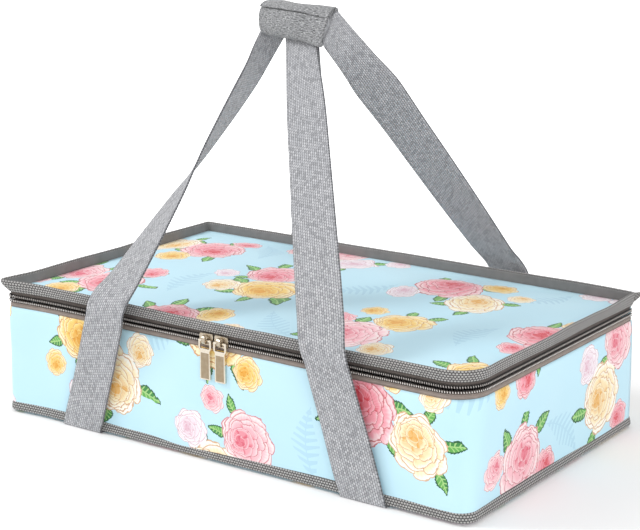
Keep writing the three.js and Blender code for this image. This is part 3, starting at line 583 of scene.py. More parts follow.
def leaves(sums, x, y, radius, count, seed):
    """Leaves standing out round a bloom: one in each sector, half as wide as it is long.

    A leaf's half width is 0.5 sin(pi s^0.8), s the share of its length, less its saw teeth."""
    round_ = sums.turn(y, x, count) + seed * 5.0
    draw = sums.chance(sums.floor(round_), seed)
    along = (sums.far(x, y) - radius * 0.80) / (draw[0] * (radius * 0.35) + radius * 0.62)
    angle = sums.fract(round_) - 0.5 + (draw[1] - 0.5) * 0.25
    sideways = angle * (along + 1.35) * (9.4 / count) + (along * along) * 0.35
    held = sums.math("MINIMUM", sums.most(along, 0.0), 1.0)
    width = sums.sine(sums.math("POWER", held, 0.8) * math.pi) * 0.5
    teeth = sums.fract(along * 9.0) * 0.07
    away = sums.size(sideways)
    inside = (away < width - teeth) * (draw[2] > 0.28)
    vein = sums.fract(along * 6.5 - away * 2.2)
    light = sums.most(away < 0.05, vein < 0.30)
    edge = away > width - 0.13
    return inside, light, edge, sideways > 0.0


def repeat(sums, across, up, rise, key):
    """The half-drop repeat: three chance numbers for each cell, and the place from its middle.

    rise moves the rows up by a share of their height, and key keeps two repeats' numbers apart."""
    column = sums.floor(across / REPEAT_WIDE)
    height = up / REPEAT_HIGH + column * 0.5 + rise
    row = sums.floor(height)
    x = (across / REPEAT_WIDE - column - 0.5) * REPEAT_WIDE
    y = (height - row - 0.5) * REPEAT_HIGH
    return sums.chance(column + key, row), x, y


def print_colour(sums, across, up, ground, pale_ground):
    """The printed cloth: sprigs of roses in a half-drop repeat on a pale ground, with faint fronds.

    Each repeat turns, shifts and colours its sprig by chance numbers of its own."""
    place = sums.metres(across, up)
    sway = sums.noise(place, 95.0, 1.0) - 0.5
    draw, x, y = repeat(sums, across + sway * 5.0, up + sway * 4.0, 0.0, 0.0)
    x, y = x + (draw[0] - 0.5) * JITTER_WIDE, y + (draw[1] - 0.5) * JITTER_HIGH
    px, py = sums.turned(x, y, draw[2] * FULL_TURN)

    # each bloom in its turn covers what lies further off, as counted in its own radius
    near, bx, by, seed = 9.0, 0.0, 0.0, 0.0
    for order, (cx, cy, radius) in enumerate(SPRIG_BLOOMS):
        dx, dy = (px - cx) / radius, (py - cy) / radius
        far = sums.far(dx, dy)
        front = far < sums.most(near, BLOOM_REACH)
        near = sums.pick(front, near, far)
        bx, by = sums.pick(front, bx, dx), sums.pick(front, by, dy)
        seed = sums.pick(front, seed, sums.fract(draw[0] * 3.0 + draw[1] + 0.31 * order))
    ruffle = sums.noise(place, 210.0, 2.0) - 0.5
    depth, line, extent = bloom(sums, bx + ruffle * 0.16, by - ruffle * 0.12, seed)

    base = fronds(sums, across, up, sums.tint(sums.noise(place, 9.0, 2.0), ground, pale_ground))
    for (cx, cy, radius), count in zip(SPRIG_BLOOMS[-2:], SPRIG_LEAVES):
        inside, light, edge, half = leaves(sums, px - cx, py - cy, radius, count, draw[0])
        green = sums.tint(half, colour("66ad55"), colour("448c48"))
        green = sums.tint(light, green, colour("a6d285"))
        base = sums.tint(inside, base, sums.tint(edge, green, colour("2b5f3b")))
    pale, middle, deep = (sums.steps(seed, codes) for codes in (PALE, MIDDLE, DEEP))
    depth = depth + sums.sine(sums.turn(by, bx, 46.0) * FULL_TURN) * 0.05
    petals = sums.tint(sums.ease(depth, 0.05, 0.55), pale, middle)
    petals = sums.tint(sums.ease(depth, 0.55, 1.0), petals, deep)
    petals = sums.tint(line * 0.75, petals, sums.tint(0.4, deep, colour("8a3038")))
    return sums.tint(extent, base, petals)


def fronds(sums, across, up, base):
    """Faint fronds between the sprigs: leaflets along a stem that get shorter to its ends."""
    draw, x, y = repeat(sums, across + REPEAT_WIDE / 2, up, 0.25, 17.0)
    px, py = sums.turned(x, y, draw[0] * FULL_TURN)
    away = sums.size(py + px * px * 0.008)
    reach = (1.0 - sums.size(px) / 30.0) * 13.0
    leaflet = sums.size(sums.fract(px / 5.5 - away * 0.06) - 0.5) < 0.33 - away * 0.016
    shape = sums.most(leaflet, away < 0.5) * (away < reach) * (draw[1] > 0.25)
    return sums.tint(shape * 0.42, base, colour("9fcbe2"))


def printed_cloth(name, ground, pale_ground):
    """Smooth printed polyester: the print, a fine plain weave and a little unevenness."""
    made, sums, shader = new_finish(name, 0.62, sheen=0.12, specular=0.35)
    across, up = sums.cloth_millimetres()
    base = print_colour(sums, across, up, ground, pale_ground)
    weave = sums.sine(across * 9.0) * sums.sine(up * 9.0)
    soft = sums.noise(sums.metres(across, up), 60.0, 3.0)
    finish_with(sums, shader, base, soft + weave * 0.12, 0.35, 0.0006)
    return made


def ribbed_webbing(name, thread, shadow, fleck):
    """Webbing woven in lengthwise ribs of staggered stitches, with lighter and darker flecks."""
    made, sums, shader = new_finish(name, 0.8, sheen=0.25, specular=0.3)
    across, along = sums.cloth_millimetres()
    rib = across / 1.9
    which = sums.floor(rib)
    side = (sums.fract(rib) - 0.5) * 2.0
    stitch = along / 2.35 + which * 0.5
    step = (sums.fract(stitch) - 0.5) * 2.0
    round_ = 1.0 - sums.far(side * 0.95, step * 0.9)
    draw = sums.chance(which, sums.floor(stitch))
    base = sums.tint(sums.ease(round_, -0.16, 0.3), shadow, thread)
    base = sums.tint((draw[1] > 0.7) * 0.3, base, shadow)
    base = sums.tint((draw[0] > 0.7) * sums.ease(round_, 0.1, 0.5) * 0.35, base, fleck)
    finish_with(sums, shader, base, round_, 0.75, 0.0005)
    return made


def woven_tape(name, thread, shadow):
    """Narrow tape in a close twill: staggered rows of small raised dots on a darker ground.

    From 10.5 to 12.5 mm across, where the tape turns inwards, the dots fade to a plain face."""
    pitch = 1.85
    made, sums, shader = new_finish(name, 0.85, sheen=0.15, specular=0.3)
    along, across = sums.cloth_millimetres()
    row = across / pitch
    which = sums.floor(row)
    side = (sums.fract(row) - 0.5) * 2.0
    step = (sums.fract(along / (pitch * 1.25) + which * 0.5) - 0.5) * 2.0
    dot = 1.0 - sums.far(side, step)
    patch = sums.noise(sums.metres(along, across), 130.0, 2.0)
    inner = sums.ease(across, 10.5, 12.5)
    woven = sums.pick(inner, sums.ease(dot, -0.1, 0.6), 0.36)
    base = sums.tint(woven * (patch * 0.5 + 0.66), shadow, thread)
    finish_with(sums, shader, base, dot * (1.0 - inner), 0.7, 0.0004)
    return made


def melange_cloth(name, light, middle, dark):
    """Heathered grip cloth: short streaks of light and dark yarn along the grip."""
    made, sums, shader = new_finish(name, 0.9, sheen=0.3, specular=0.25)
    along, around = sums.cloth_millimetres()
    streak = sums.noise(sums.point(along * 0.28, around * 1.5), 1.0, 2.0, 0.6)
    speck = sums.noise(sums.point(along * 0.45, around * 2.1, 7.0), 1.0, 1.5, 0.55)
    base = sums.tint(sums.ease(streak, 0.34, 0.58), dark, middle)
    base = sums.tint(sums.ease(speck, 0.50, 0.70), base, light)
    weave = sums.sine(along * 5.2) * sums.sine(around * 5.2)
    finish_with(sums, shader, base, weave * 0.4 + speck, 0.6, 0.0005)
    return made


def coil_finish(name, wire, thread):
    """Zip coil: dark wire, with a painted highlight in the light colour where each turn stands out
    from the case.
    """
    made, sums, shader = new_finish(name, 0.45)
    _, around = sums.cloth_millimetres()
    # painted highlight: the light colour, passed as thread, on the outermost part of each turn
    painted_glint = sums.ease(sums.sine(around), 0.8, 0.96)
    rough = sums.noise(sums.place(), 900.0)
    finish_with(sums, shader, sums.tint(painted_glint, wire, thread), rough, 0.2, 0.0002)
    return made


def plain_tape(name, code, deep):
    """Zip tape: fine cross ribs, a little darker in places."""
    made, sums, shader = new_finish(name, 0.85, sheen=0.1, specular=0.3)
    along, across = sums.cloth_millimetres()
    ribs = sums.sine(along * 7.0) * 0.5 + sums.sine(across * 6.0) * 0.5
    patch = sums.noise(sums.metres(along, across), 120.0, 2.0)
    base = sums.tint(patch * 0.6 + ribs * 0.12, code, deep)
    finish_with(sums, shader, base, ribs, 0.5, 0.0003)
    return made


def worn_metal(name, bright, dull):
    """Plated metal with cloudy patches and fine brushing."""
    made, sums, shader = new_finish(name, 0.3, metallic=1.0)
    place = sums.place()
    patch = sums.noise(place, 420.0, 3.0)
    base = sums.tint(patch, bright, dull)
    rough = sums.ease(patch, 0.3, 0.7, 0.22, 0.42)
    finish_with(sums, shader, base, sums.noise(place, 2400.0, 2.0), 0.12, 0.0002, rough)
    return made


# In metres above a pull's lower end: where its bright end stops, and where its ring begins
TAB_END, TAB_TOP = 0.0009, 0.0203


def edged_metal(name, bright, face, middle, half, bottom):
    """Flat tab of plated metal: smoother along its sides, its end and its ring, with a painted
    highlight there; tan between.
    """
    made, sums, shader = new_finish(name, 0.3, metallic=0.9)
    place = sums.place()
    x, _, z = sums.parts(place)
    # rim: where the bevelled rim gets a painted highlight and a smoother finish
    rim = sums.most(sums.size(x - middle) > half * 0.81 - 0.001, z < bottom + TAB_END)
    rim = sums.most(rim, z > bottom + TAB_TOP)
    patch = sums.noise(place, 300.0, 2.0)
    base = sums.tint(rim, sums.tint(patch * 0.3, face, bright), bright)
    rough = sums.pick(rim, 0.42, 0.2)
    finish_with(sums, shader, base, rim, 0.6, 0.0005, rough)
    return made


def foil_lining(name, bright, dull):
    """Metallised film lining, softly creased."""
    made, sums, shader = new_finish(name, 0.34, metallic=0.85)
    place = sums.place()
    crease = sums.noise(place, 26.0, 4.0, 0.6)
    fine = sums.noise(place, 130.0, 3.0)
    base = sums.tint(fine, bright, dull)
    rough = sums.ease(fine, 0.3, 0.7, 0.26, 0.46)
    finish_with(sums, shader, base, crease + fine * 0.25, 0.8, 0.004, rough)
    return made


def open_foam(name, code, deep):
    """Soft white foam with fine pores."""
    made, sums, shader = new_finish(name, 0.95, specular=0.2)
    place = sums.place()
    pores = sums.noise(place, 900.0, 3.0, 0.7)
    finish_with(sums, shader, sums.tint(sums.ease(pores, 0.4, 0.6), deep, code), pores, 0.5, 0.0004)
    return made


def pressed_board(name, code, deep):
    """Grey pressed board with short fibres."""
    made, sums, shader = new_finish(name, 0.8, specular=0.3)
    fibre = sums.noise(sums.place(), 300.0, 4.0, 0.7)
    finish_with(sums, shader, sums.tint(fibre, code, deep), fibre, 0.3, 0.0003)
    return made


def hook_and_loop(name, code, deep):
    """Closure tape: a dense pile of tiny hooks or loops."""
    made, sums, shader = new_finish(name, 0.95, sheen=0.2, specular=0.2)
    pile = sums.noise(sums.place(), 1500.0, 2.0, 0.7)
    finish_with(sums, shader, sums.tint(sums.ease(pile, 0.35, 0.65), deep, code), pile, 0.8, 0.0006)
    return made


_finishes = {}


def finish(name):
    """Each finish is made once, from the panel's colours, and used again by name."""
    if name not in _finishes:
        look = bpy.context.scene.carrier_look
        recipes = {
            "printed_fabric": (printed_cloth, "printed_cloth", look.ground, look.pale_ground),
            "webbing": (ribbed_webbing, "ribbed_webbing", look.webbing, "505155", "e8e8ea"),
            "binding_tape": (woven_tape, "binding_twill", look.binding, "3c3b3b"),
            "grip_cloth": (melange_cloth, "grip_melange", "c9cacb", look.grip, "4b4c4e"),
            "zip_tape": (plain_tape, "zip_tape_weave", look.zip_tape, "5f554f"),
            # the coils' light colour is a painted glint on each turn
            "zip_teeth": (coil_finish, "zip_coil", "332c29", "e6e1dc"),
            # the upper tape and coil are darker copies of the lower ones: painted shade under the
            # lip
            "upper_zip_tape": (plain_tape, "upper_zip_weave_painted_shade", "6b625d", "3c3734"),
            "upper_zip_teeth_painted_shade": (coil_finish, "upper_zip_coil_painted_shade", "2b2624", "c2bcb7"),
            "slider_metal": (worn_metal, "slider_plating", look.metal, "8d7a5f"),
            "foil_liner": (foil_lining, "foil_film", "d4d7d9", "a9adb0"),
            "foam": (open_foam, "white_foam", "ecece8", "cfcfc9"),
            "board": (pressed_board, "pressed_board", "5f6266", "45484b"),
            "closure_tape": (hook_and_loop, "hook_and_loop_pile", "6c6d6f", "474849"),
        }
        make, label, *shades = recipes[name]
        shades = [colour(one) if isinstance(one, str) else (*one, 1.0) for one in shades]
        _finishes[name] = make(label, *shades)
    return _finishes[name]


def settle(piece, body, slot, *nodes):
    """Puts a piece on its body and hides the frame nodes that it stands for; slot is not used."""
    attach(piece, body)
    if nodes:
        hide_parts(*nodes)
    return piece


# ---------------------------------------------------------------- settings


def swatch(name, description, code):
    """A colour that a user can change."""
    return bpy.props.FloatVectorProperty(
        name=name, description=description, size=3, subtype="COLOR", min=0, max=1,
        default=colour(code)[:3],
    )


class CarrierLook(bpy.types.PropertyGroup):
    """Colours and small sizes of the carrier that a user would change."""

    ground: swatch("Print ground", "Ground colour of the printed cloth", "bae2f2")
    pale_ground: swatch("Pale ground", "Lighter patches of the ground", "cdeefa")
    webbing: swatch("Webbing", "Thread colour of the handles", "b4b5b9")
    binding: swatch("Binding", "Thread colour of the edge binding", "bab8b6")
    grip: swatch("Grip", "Middle colour of the grip cloth", "8f9092")
    zip_tape: swatch("Zip tape", "Colour of the zip's lower tape", "a2958d")
    metal: swatch("Slider metal", "Plating of the zip sliders", "e4dac9")
    wall_puff: bpy.props.FloatProperty(
        name="Wall puff", description="How far the padded walls swell between their seams",
        subtype="DISTANCE", unit="LENGTH", default=0.0014, min=0, max=0.004,
    )
    coil_pitch: bpy.props.FloatProperty(
        name="Coil pitch", description="Distance from one turn of the zip's coil to the next",
        subtype="DISTANCE", unit="LENGTH", default=0.0018, min=0.001, max=0.004,
    )


class CarrierStage(bpy.types.PropertyGroup):
    """Camera and lights."""

    lens: bpy.props.FloatProperty(
        name="Lens", description="Focal length of the camera on a 36 mm wide sensor, in mm",
        default=99.08, min=20, max=300,
    )
    key: bpy.props.FloatProperty(
        name="Key light", description="Power of the soft light from the front left", unit="POWER",
        default=17.0, min=0,
    )
    fill: bpy.props.FloatProperty(
        name="Fill light", description="Power of the soft light from the right", unit="POWER",
        default=13.0, min=0,
    )
    surround: bpy.props.FloatProperty(
        name="Surround", description="Strength of the even light from all round",
        default=0.78, min=0,
    )


class Maker:
    """What the carrier's operators have in common."""

    bl_options = {"REGISTER", "UNDO"}

    def execute(self, context):
        self.make(context.scene.carrier_look)
        return {"FINISHED"}


# ---------------------------------------------------------------- the case


class CARRIER_OT_walls(Maker, bpy.types.Operator):
    """Make the printed cloth of the walls, back and base"""

    bl_idname = "carrier.walls"
    bl_label = "Walls and base"

    def make(self, look):
        swell = look.wall_puff / MM

        def puffed(u, v):
            share = np.clip(v / (WALL_TOP - WALL_BOTTOM), 0.0, 1.0)
            soft = hump(share, WALL_FULLNESS)
            return soft * (swell + 0.8 * ripple(u, v, 140.0, 11) + 0.2 * ripple(u, v, 46.0, 3))

        # the wall's face: straight up from hem to hem, swelling a little between them
        profile = finer([[0.0, WALL_BOTTOM], [0.0, WALL_TOP]], 34)
        grid, cloth = carried(profile, whole=False, setback=BACK_RADIUS, push=puffed)
        wall = new_piece("wall_cloth", [(grid, cloth)], finish("printed_fabric"), CLOTH)
        settle(wall, "tray", "printed_fabric", "wall_strip")

        # the back panel: a flat sheet up to the lid's fold, swelling less than the walls
        half = LENGTH / 2 - BACK_PANEL_INSET
        x = np.linspace(half, -half, 100)[None, :]
        z = np.linspace(WALL_BOTTOM, LIP_BOTTOM - BACK_PANEL_GAP, 30)[:, None]
        u, v = np.broadcast_arrays(1000.0 - x, z - WALL_BOTTOM)
        share = v / v.max()
        soft = hump(share, WALL_FULLNESS) * eased((1 - share) / 0.15)
        y = DEPTH / 2 + soft * (0.5 * swell + 0.3 * ripple(u, v, 140.0, 21))
        back = np.stack(np.broadcast_arrays(x, y, z), -1)
        cloth = np.stack([u, v], -1)
        panel = new_piece("back_cloth", [(back, cloth)], finish("printed_fabric"), CLOTH)
        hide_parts("back_panel")
        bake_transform(panel)

        # the base: a sheet drawn tight under the case
        level = lambda x, y: np.full(x.shape, BASE_BOTTOM)
        under = filled_outline(0.4, BASE_BOTTOM, level, 60, 36)[::-1]
        base = new_piece("base_cloth", [(under, under[..., :2])], finish("printed_fabric"), CLOTH)
        settle(base, "tray", "printed_fabric", "base_panel")


def filled_outline(inset, level, height, columns, rows):
    """A grid that fills the outline at one level: a square grid whose corners are drawn in.

    In a corner square, (a, b) goes to r (a sqrt(1 - b b / 2), b sqrt(1 - a a / 2))."""
    half_x, half_y = LENGTH / 2 - inset, DEPTH / 2 - inset
    x = np.linspace(-half_x, half_x, columns + 1)[None, :] + np.zeros((rows + 1, 1))
    y = np.linspace(-half_y, half_y, rows + 1)[:, None] + np.zeros((1, columns + 1))
    front = max(float(front_radius(level)) - inset, LEAST_RADIUS)
    left, back = (max(radius - inset, LEAST_RADIUS) for radius in (LEFT_RADIUS, BACK_RADIUS))
    radius = np.where(y < 0, np.where(x < 0, left, front), back)
    a = np.clip((np.abs(x) - (half_x - radius)) / radius, 0.0, 1.0)
    b = np.clip((np.abs(y) - (half_y - radius)) / radius, 0.0, 1.0)

    def drawn(value, near, one, other):
        far = near - radius + radius * one * np.sqrt(1 - other * other / 2)
        return np.where(one > 0, np.sign(value) * far, value)

    px, py = drawn(x, half_x, a, b), drawn(y, half_y, b, a)
    flat = pulled(np.stack([px, py], -1), level)
    return np.concatenate([flat, height(px, py)[..., None]], -1)


def edge_distance(x, y, inset):
    """How far a point is inside the outline's straight sides."""
    return np.minimum(LENGTH / 2 - inset - np.abs(x), DEPTH / 2 - inset - np.abs(y))


class CARRIER_OT_padding(Maker, bpy.types.Operator):
    """Make the foam in the walls, base and lid, and finish the board"""

    bl_idname = "carrier.padding"
    bl_label = "Foam and board"

    def make(self, look):
        # the wall's foam: a band round the case, rounded along its two edges
        middle = (FOAM_OUTER + FOAM_INNER) / 2
        profile = finer([[middle, FOAM_BOTTOM], [middle, FOAM_TOP]], 16)
        grid, cloth = carried(profile, spacing=FOAM_SPACING)
        _, out, _ = outline(profile[:, 0], profile[:, 1], spacing=FOAM_SPACING)
        away = np.concatenate([out, np.zeros((*out.shape[:2], 1))], -1)
        thick = FOAM_INNER - FOAM_OUTER
        foam = pillow("wall_padding", grid, away, cloth, thick, finish("foam"), None, 7.0)
        settle(foam, "tray", "foam", "wall_foam")

        for name, node, body, low, high, inset, crown in (
            ("base_padding", "base_foam", "tray", 2.75, 6.7, 1.9, 0.0),
            ("lid_padding", "lid_foam", "lid", 96.5, 99.6, 6.1, LID_CROWN - 0.5),
        ):
            level, thick = 0.5 * (low + high), high - low
            risen = lambda x, y: eased(edge_distance(x, y, inset) / LID_CROWN_INSET)
            lift = lambda x, y: level + crown / 2 * risen(x, y)
            grid = filled_outline(inset, level, lift, 48, 30)
            away = np.zeros_like(grid)
            away[..., 2] = 1.0 + (crown / thick) * risen(grid[..., 0], grid[..., 1])
            pad = pillow(name, grid, away, grid[..., :2], thick, finish("foam"), 16.0, 12.0)
            settle(pad, body, "foam", node)

        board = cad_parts["base_board"]
        board.data.materials.clear()
        board.data.materials.append(finish("board"))


class CARRIER_OT_linings(Maker, bpy.types.Operator):
    """Make the metallised linings of the tray and the lid"""

    bl_idname = "carrier.linings"
    bl_label = "Linings"

    def make(self, look):
        # the tray's lining: over the foam's edge, down the wall and round on to the floor
        wall = LINER_OUTER + 0.4
        profile = rounded([[1.6, 86.62], [4.6, 86.7], [LINER_OUTER + 0.3, 85.2], [wall, 60.0],
                           [wall, 30.0], [LINER_OUTER + 0.7, 11.5], [LINER_OUTER + 3.2, 9.3]], 7)

        def creased(u, v):
            return -0.15 * (1 + ripple(u, v, 60.0, 31)) * hump(np.clip(v / 90, 0, 1), 2.5)

        grid, cloth = carried(profile, spacing=8.0, push=creased)
        grids = [(grid[:, ::-1], cloth[:, ::-1])]
        flank = new_piece("tray_lining", grids, finish("foil_liner"), FILM)
        settle(flank, "tray", "foil_liner", "tray_liner")

        floor = self.flat_lining(8.6, 9.3, 9.35, 0.25, 80.0, 8)
        bed = new_piece("floor_lining", [(floor, floor[..., :2])], finish("foil_liner"), FILM)
        settle(bed, "tray", "foil_liner")

        ceiling = self.flat_lining(6.2, 96.0, 95.95, -0.25, 70.0, 9)[::-1]
        lid = new_piece("lid_lining", [(ceiling, ceiling[..., :2])], finish("foil_liner"), FILM)
        settle(lid, "lid", "foil_liner", "lid_liner")

    def flat_lining(self, inset, level, height, unevenness, wavelength, seed):
        """A level sheet, uneven up to 12 mm from its edge: height + unevenness (1 + ripple)."""
        def lift(x, y):
            inner = eased(edge_distance(x, y, inset) / 12.0)
            return height + unevenness * (1 + ripple(x, y, wavelength, seed)) * inner

        return filled_outline(inset, level, lift, 52, 32)


def high_side(x, y):
    """1 along the left and back sides, where the lip stands higher, and 0 along the others."""
    return np.maximum(eased((-x - 150.0) / 50.0), eased((y - 70.0) / 45.0))


class CARRIER_OT_lid(Maker, bpy.types.Operator):
    """Make the printed top of the lid"""

    bl_idname = "carrier.lid"
    bl_label = "Lid top"

    def make(self, look):
        def height(x, y):
            inside = edge_distance(x, y, LID_INSET)
            soft = eased(inside / 24.0)
            near_edge = eased(inside / 5.0) * (1 - eased((inside - 10) / 40))
            puckers = 0.4 * ripple(x, y, 34.0, 41) * near_edge
            swell = LID_CROWN * eased(inside / LID_CROWN_INSET)
            waves = 1.1 * ripple(x, y, 150.0, 42) + 0.35 * ripple(x, y, 62.0, 43)
            waves = soft * waves + puckers
            return LID_EDGE - 0.4 + swell + np.maximum(waves, -0.7 + 0.25 * waves)

        top = filled_outline(LID_INSET, 101.0, height, 130, 80)
        # the edge turns up behind the lip
        rise = 1 - eased(edge_distance(top[..., 0], top[..., 1], LID_INSET) / 2.4)
        top[..., 2] += 1.2 * rise * (1 - high_side(top[..., 0], top[..., 1]))
        cloth = top[..., :2] + LID_PRINT_START
        piece = new_piece("lid_cloth", [(top, cloth)], finish("printed_fabric"), CLOTH)
        settle(piece, "lid", "printed_fabric", "lid_panel")


class CARRIER_OT_bindings(Maker, bpy.types.Operator):
    """Make the folded tapes round the lid's edge and round the bottom"""

    bl_idname = "carrier.bindings"
    bl_label = "Bindings"

    def make(self, look):
        def fold(u):
            return np.exp(-(((u - FOLD_PLACE) / FOLD_REACH) ** 2))

        def wave(u, v):
            lean = ripple(u, 0.0 * v, 95.0, 51) * 0.42 + ripple(u, v, 33.0, 52) * 0.14
            top = np.clip((v - 2.0) / 6.0, 0.0, 1.0) * np.clip((20.0 - v) / 8.0, 0.3, 1.0)
            return lean * top + 1.1 * fold(u) * (1 - np.clip(v / 9.0, 0, 1) * 0.5) * (v < 11.0)

        def lift(u, v):
            return 0.3 * ripple(u, 0.0 * v, 120.0, 53) + 1.0 * fold(u)

        # the lid's lip: up its face, over the top and down behind, leaning outwards as it rises
        section = np.array([
            [0.3, 98.9], [0.05, 100.5], [-0.15, 103.5], [-0.05, 105.9], [0.5, 107.0],
            [1.55, 107.4], [2.6, 107.0], [3.1, 105.8], [3.2, 103.6], [3.1, 100.3],
        ])
        section[:, 0] -= LIP_LEAN * (section[:, 1] - LIP_BOTTOM) / (LIP_TOP - LIP_BOTTOM)
        grid, cloth = carried(rounded(section, 3), spacing=3.0, push=wave, lift=lift)
        v = cloth[..., 1]
        climb = np.clip(v / 7.0, 0.0, 1.0) * np.clip((18.0 - v) / 6.0, 0.0, 1.0)
        grid[..., 2] += 1.5 * high_side(grid[..., 0], grid[..., 1]) * climb
        lip = new_piece("lid_edge_binding", [(grid, cloth)], finish("binding_tape"), LIP_TAPE)
        settle(lip, "lid", "binding_tape", "lid_binding")

        # the tape's tucked end, a short flap that stands out at the back right corner
        t, s = np.linspace(0, 1, 9)[None, :], np.linspace(0, 1, 9)[:, None]
        x = LENGTH / 2 - 0.4 + 7.4 * t
        y = DEPTH / 2 - 2.0 + 4.0 * t + 0.6 * np.sin(3.0 * t)
        z = 108.4 - 8.0 * (1 - s) * (1 - 0.93 * t) + 0.7 * t
        end = np.stack(np.broadcast_arrays(x, y, z), -1)
        cloth = np.stack(np.broadcast_arrays(10 * t, 8 * s), -1)
        tab = new_piece("binding_end", [(end, cloth)], finish("binding_tape"), END_TAPE, 0.0)
        settle(tab, "lid", "binding_tape")

        # the bottom binding: a tape folded round the seam, fullest low down
        section = rounded([[-0.25, 9.5], [-1.2, 8.6], [-1.9, 6.2], [-2.2, 3.4], [-1.9, 2.15],
                           [-0.9, 1.85], [-0.1, 1.9]], 4)[::-1]
        uneven = lambda u, v: 0.12 * ripple(u, v, 60.0, 61) * np.clip(v / 3, 0, 1)
        grid, cloth = carried(section, spacing=5.0, push=uneven)
        foot = new_piece("bottom_binding", [(grid, cloth)], finish("binding_tape"), HEM_TAPE)
        settle(foot, "tray", "binding_tape", "base_binding")


# ---------------------------------------------------------------- the zip


def coil(name, row, above, pitch, wire, body, node):
    """A zip coil: a squashed helix round the row's line, with a = 2 pi (way along) / pitch.

    Its path is line + reach cos(a) up + depth sin(a) out, the reach longer towards the other row,
    and the wire is a ring of five points round that path. Its coordinates are the way and a."""
    level = row + ROW_HEIGHT / 2
    points, out, round_ = outline(CHAIN_INSET - CHAIN_PUSH, level, False, 4.0, 1.5, 30)
    turns = int(round_[-1] / (pitch / MM))
    steps = turns * 8
    way = np.linspace(0.0, round_[-1], steps + 1)
    line = np.stack([np.interp(way, round_, points[0, :, i]) for i in range(2)], 1)
    away = np.stack([np.interp(way, round_, out[0, :, i]) for i in range(2)], 1)
    angle = np.linspace(0.0, 2 * math.pi * turns, steps + 1) + (0.0 if above else math.pi)
    facing = np.cos(angle) * (1 if above else -1) < 0
    height = level + np.where(facing, COIL_TAIL, COIL_REACH) * np.cos(angle)
    path = np.column_stack([line + away * (COIL_DEPTH * np.sin(angle))[:, None], height])
    tangent = tangents(path)
    side = np.cross(tangent, np.column_stack([away, np.zeros(len(away))]))
    side /= np.linalg.norm(side, axis=1, keepdims=True)
    other = np.cross(tangent, side)
    ring = np.linspace(0, 2 * math.pi, 6)[None, :, None]
    round_path = np.cos(ring) * side[:, None] + np.sin(ring) * other[:, None]
    tube = path[:, None] + COIL_WIRE * round_path
    cloth = np.repeat(np.stack([way, angle], -1)[:, None], 6, 1)
    ends = [np.repeat(path[i][None], 6, 0)[None] for i in (0, -1)]
    tube = np.concatenate([ends[0], tube, ends[1]])
    cloth = np.concatenate([cloth[:1], cloth, cloth[-1:]])
    piece = turned_out(new_piece(name, [(tube, cloth)], wire))
    settle(piece, body, "zip_teeth", node)


class CARRIER_OT_zip(Maker, bpy.types.Operator):
    """Make the zip's two tapes and coils"""

    bl_idname = "carrier.zip"
    bl_label = "Zip"

    def make(self, look):
        # the tapes: narrow sheets, the lower one sewn behind the wall's hem
        flutter = lambda u, v: 0.12 * ripple(u, v, 50.0, 71)
        low = [[1.15, 78.5], [1.15, 84.0], [0.5, 87.0], [0.1, 88.4], [0.7, 90.0], [2.2, 91.9]]
        high = [[2.2, 95.4], [1.0, 97.2], [0.95, 99.5], [0.2, 102.5], [-0.5, 105.9]]
        for name, cloth_finish, profile, push, body, node in (
            ("lower_zip_tape", "zip_tape", low, flutter, "tray", "zip_lower_tape"),
            # the upper tape's darker finish is painted shade under the lip
            ("upper_zip_tape", "upper_zip_tape", high, None, "lid", "zip_upper_tape"),
        ):
            grid = carried(rounded(profile, 4), whole=False, setback=4.0, spacing=5.0, push=push)
            settle(new_piece(name, [grid], finish(cloth_finish), ZIP_TAPE), body, "zip_tape", node)
        for name, row, above, wire, body, node in (
            ("lower_coil", LOWER_ROW, False, "zip_teeth", "tray", "zip_lower_teeth"),
            # the upper coil's darker finish is painted shade under the lip
            ("upper_coil", UPPER_ROW, True, "upper_zip_teeth_painted_shade", "lid", "zip_upper_teeth"),
        ):
            coil(name, row, above, look.coil_pitch, finish(wire), body, node)


class CARRIER_OT_sliders(Maker, bpy.types.Operator):
    """Make the sliders, their crowns and their pulls with softened edges"""

    bl_idname = "carrier.sliders"
    bl_label = "Sliders"

    def make(self, look):
        for body, nodes in SLIDER_PIECES.items():
            for node in nodes:
                work = bmesh.new()
                work.from_mesh(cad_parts[node].data)
                bmesh.ops.remove_doubles(work, verts=work.verts, dist=1e-6)
                bmesh.ops.dissolve_limit(
                    work, angle_limit=math.radians(1.0), verts=work.verts, edges=work.edges
                )
                mesh = bpy.data.meshes.new(f"{node}_metal")
                work.to_mesh(mesh)
                work.free()
                mesh.materials.append(self.metal(node, mesh, look))
                piece = bpy.data.objects.new(f"{node}_metal", mesh)
                bpy.context.scene.collection.objects.link(piece)
                edge = piece.modifiers.new("soft edges", "BEVEL")
                edge.width, edge.segments = SLIDER_EDGE, 2
                edge.limit_method, edge.angle_limit = "ANGLE", math.radians(50.0)
                settle(piece, body, "slider_metal", node)

    def metal(self, node, mesh, look):
        """Plain plating for bodies and crowns; for pulls an edged tab, measured off its mesh."""
        if not node.startswith("pull"):
            return finish("slider_metal")
        points = mesh_points(mesh)
        low, high = points.min(0), points.max(0)
        middle, half = float(low[0] + high[0]) / 2, float(high[0] - low[0]) / 2
        # bright is the colour of the pull rim's painted highlight
        bright, face = (*look.metal, 1.0), colour("9a866a")
        return edged_metal(f"{node}_plating", bright, face, middle, half, float(low[2]))


# ---------------------------------------------------------------- the handles


def in_grip(along, front, up):
    """Points in the grip: its middle + along, towards the front and up."""
    along, front, up = (np.asarray(value)[..., None] for value in (along, front, up))
    return GRIP_CENTRE + along * ALONG + front * TO_FRONT + up * UP


def tube_line():
    """The webbing's line in the grip as [towards the pad, up]: up the middle, over and down."""
    angle = np.pi * np.arange(7) / 6
    bend = np.stack([4.2 - 3.2 * np.cos(angle), 3.2 + 3.2 * np.sin(angle)], 1)
    return np.concatenate([[[1.0, -9.6], [1.0, 0.0]], bend, [[7.4, -5.0]]])


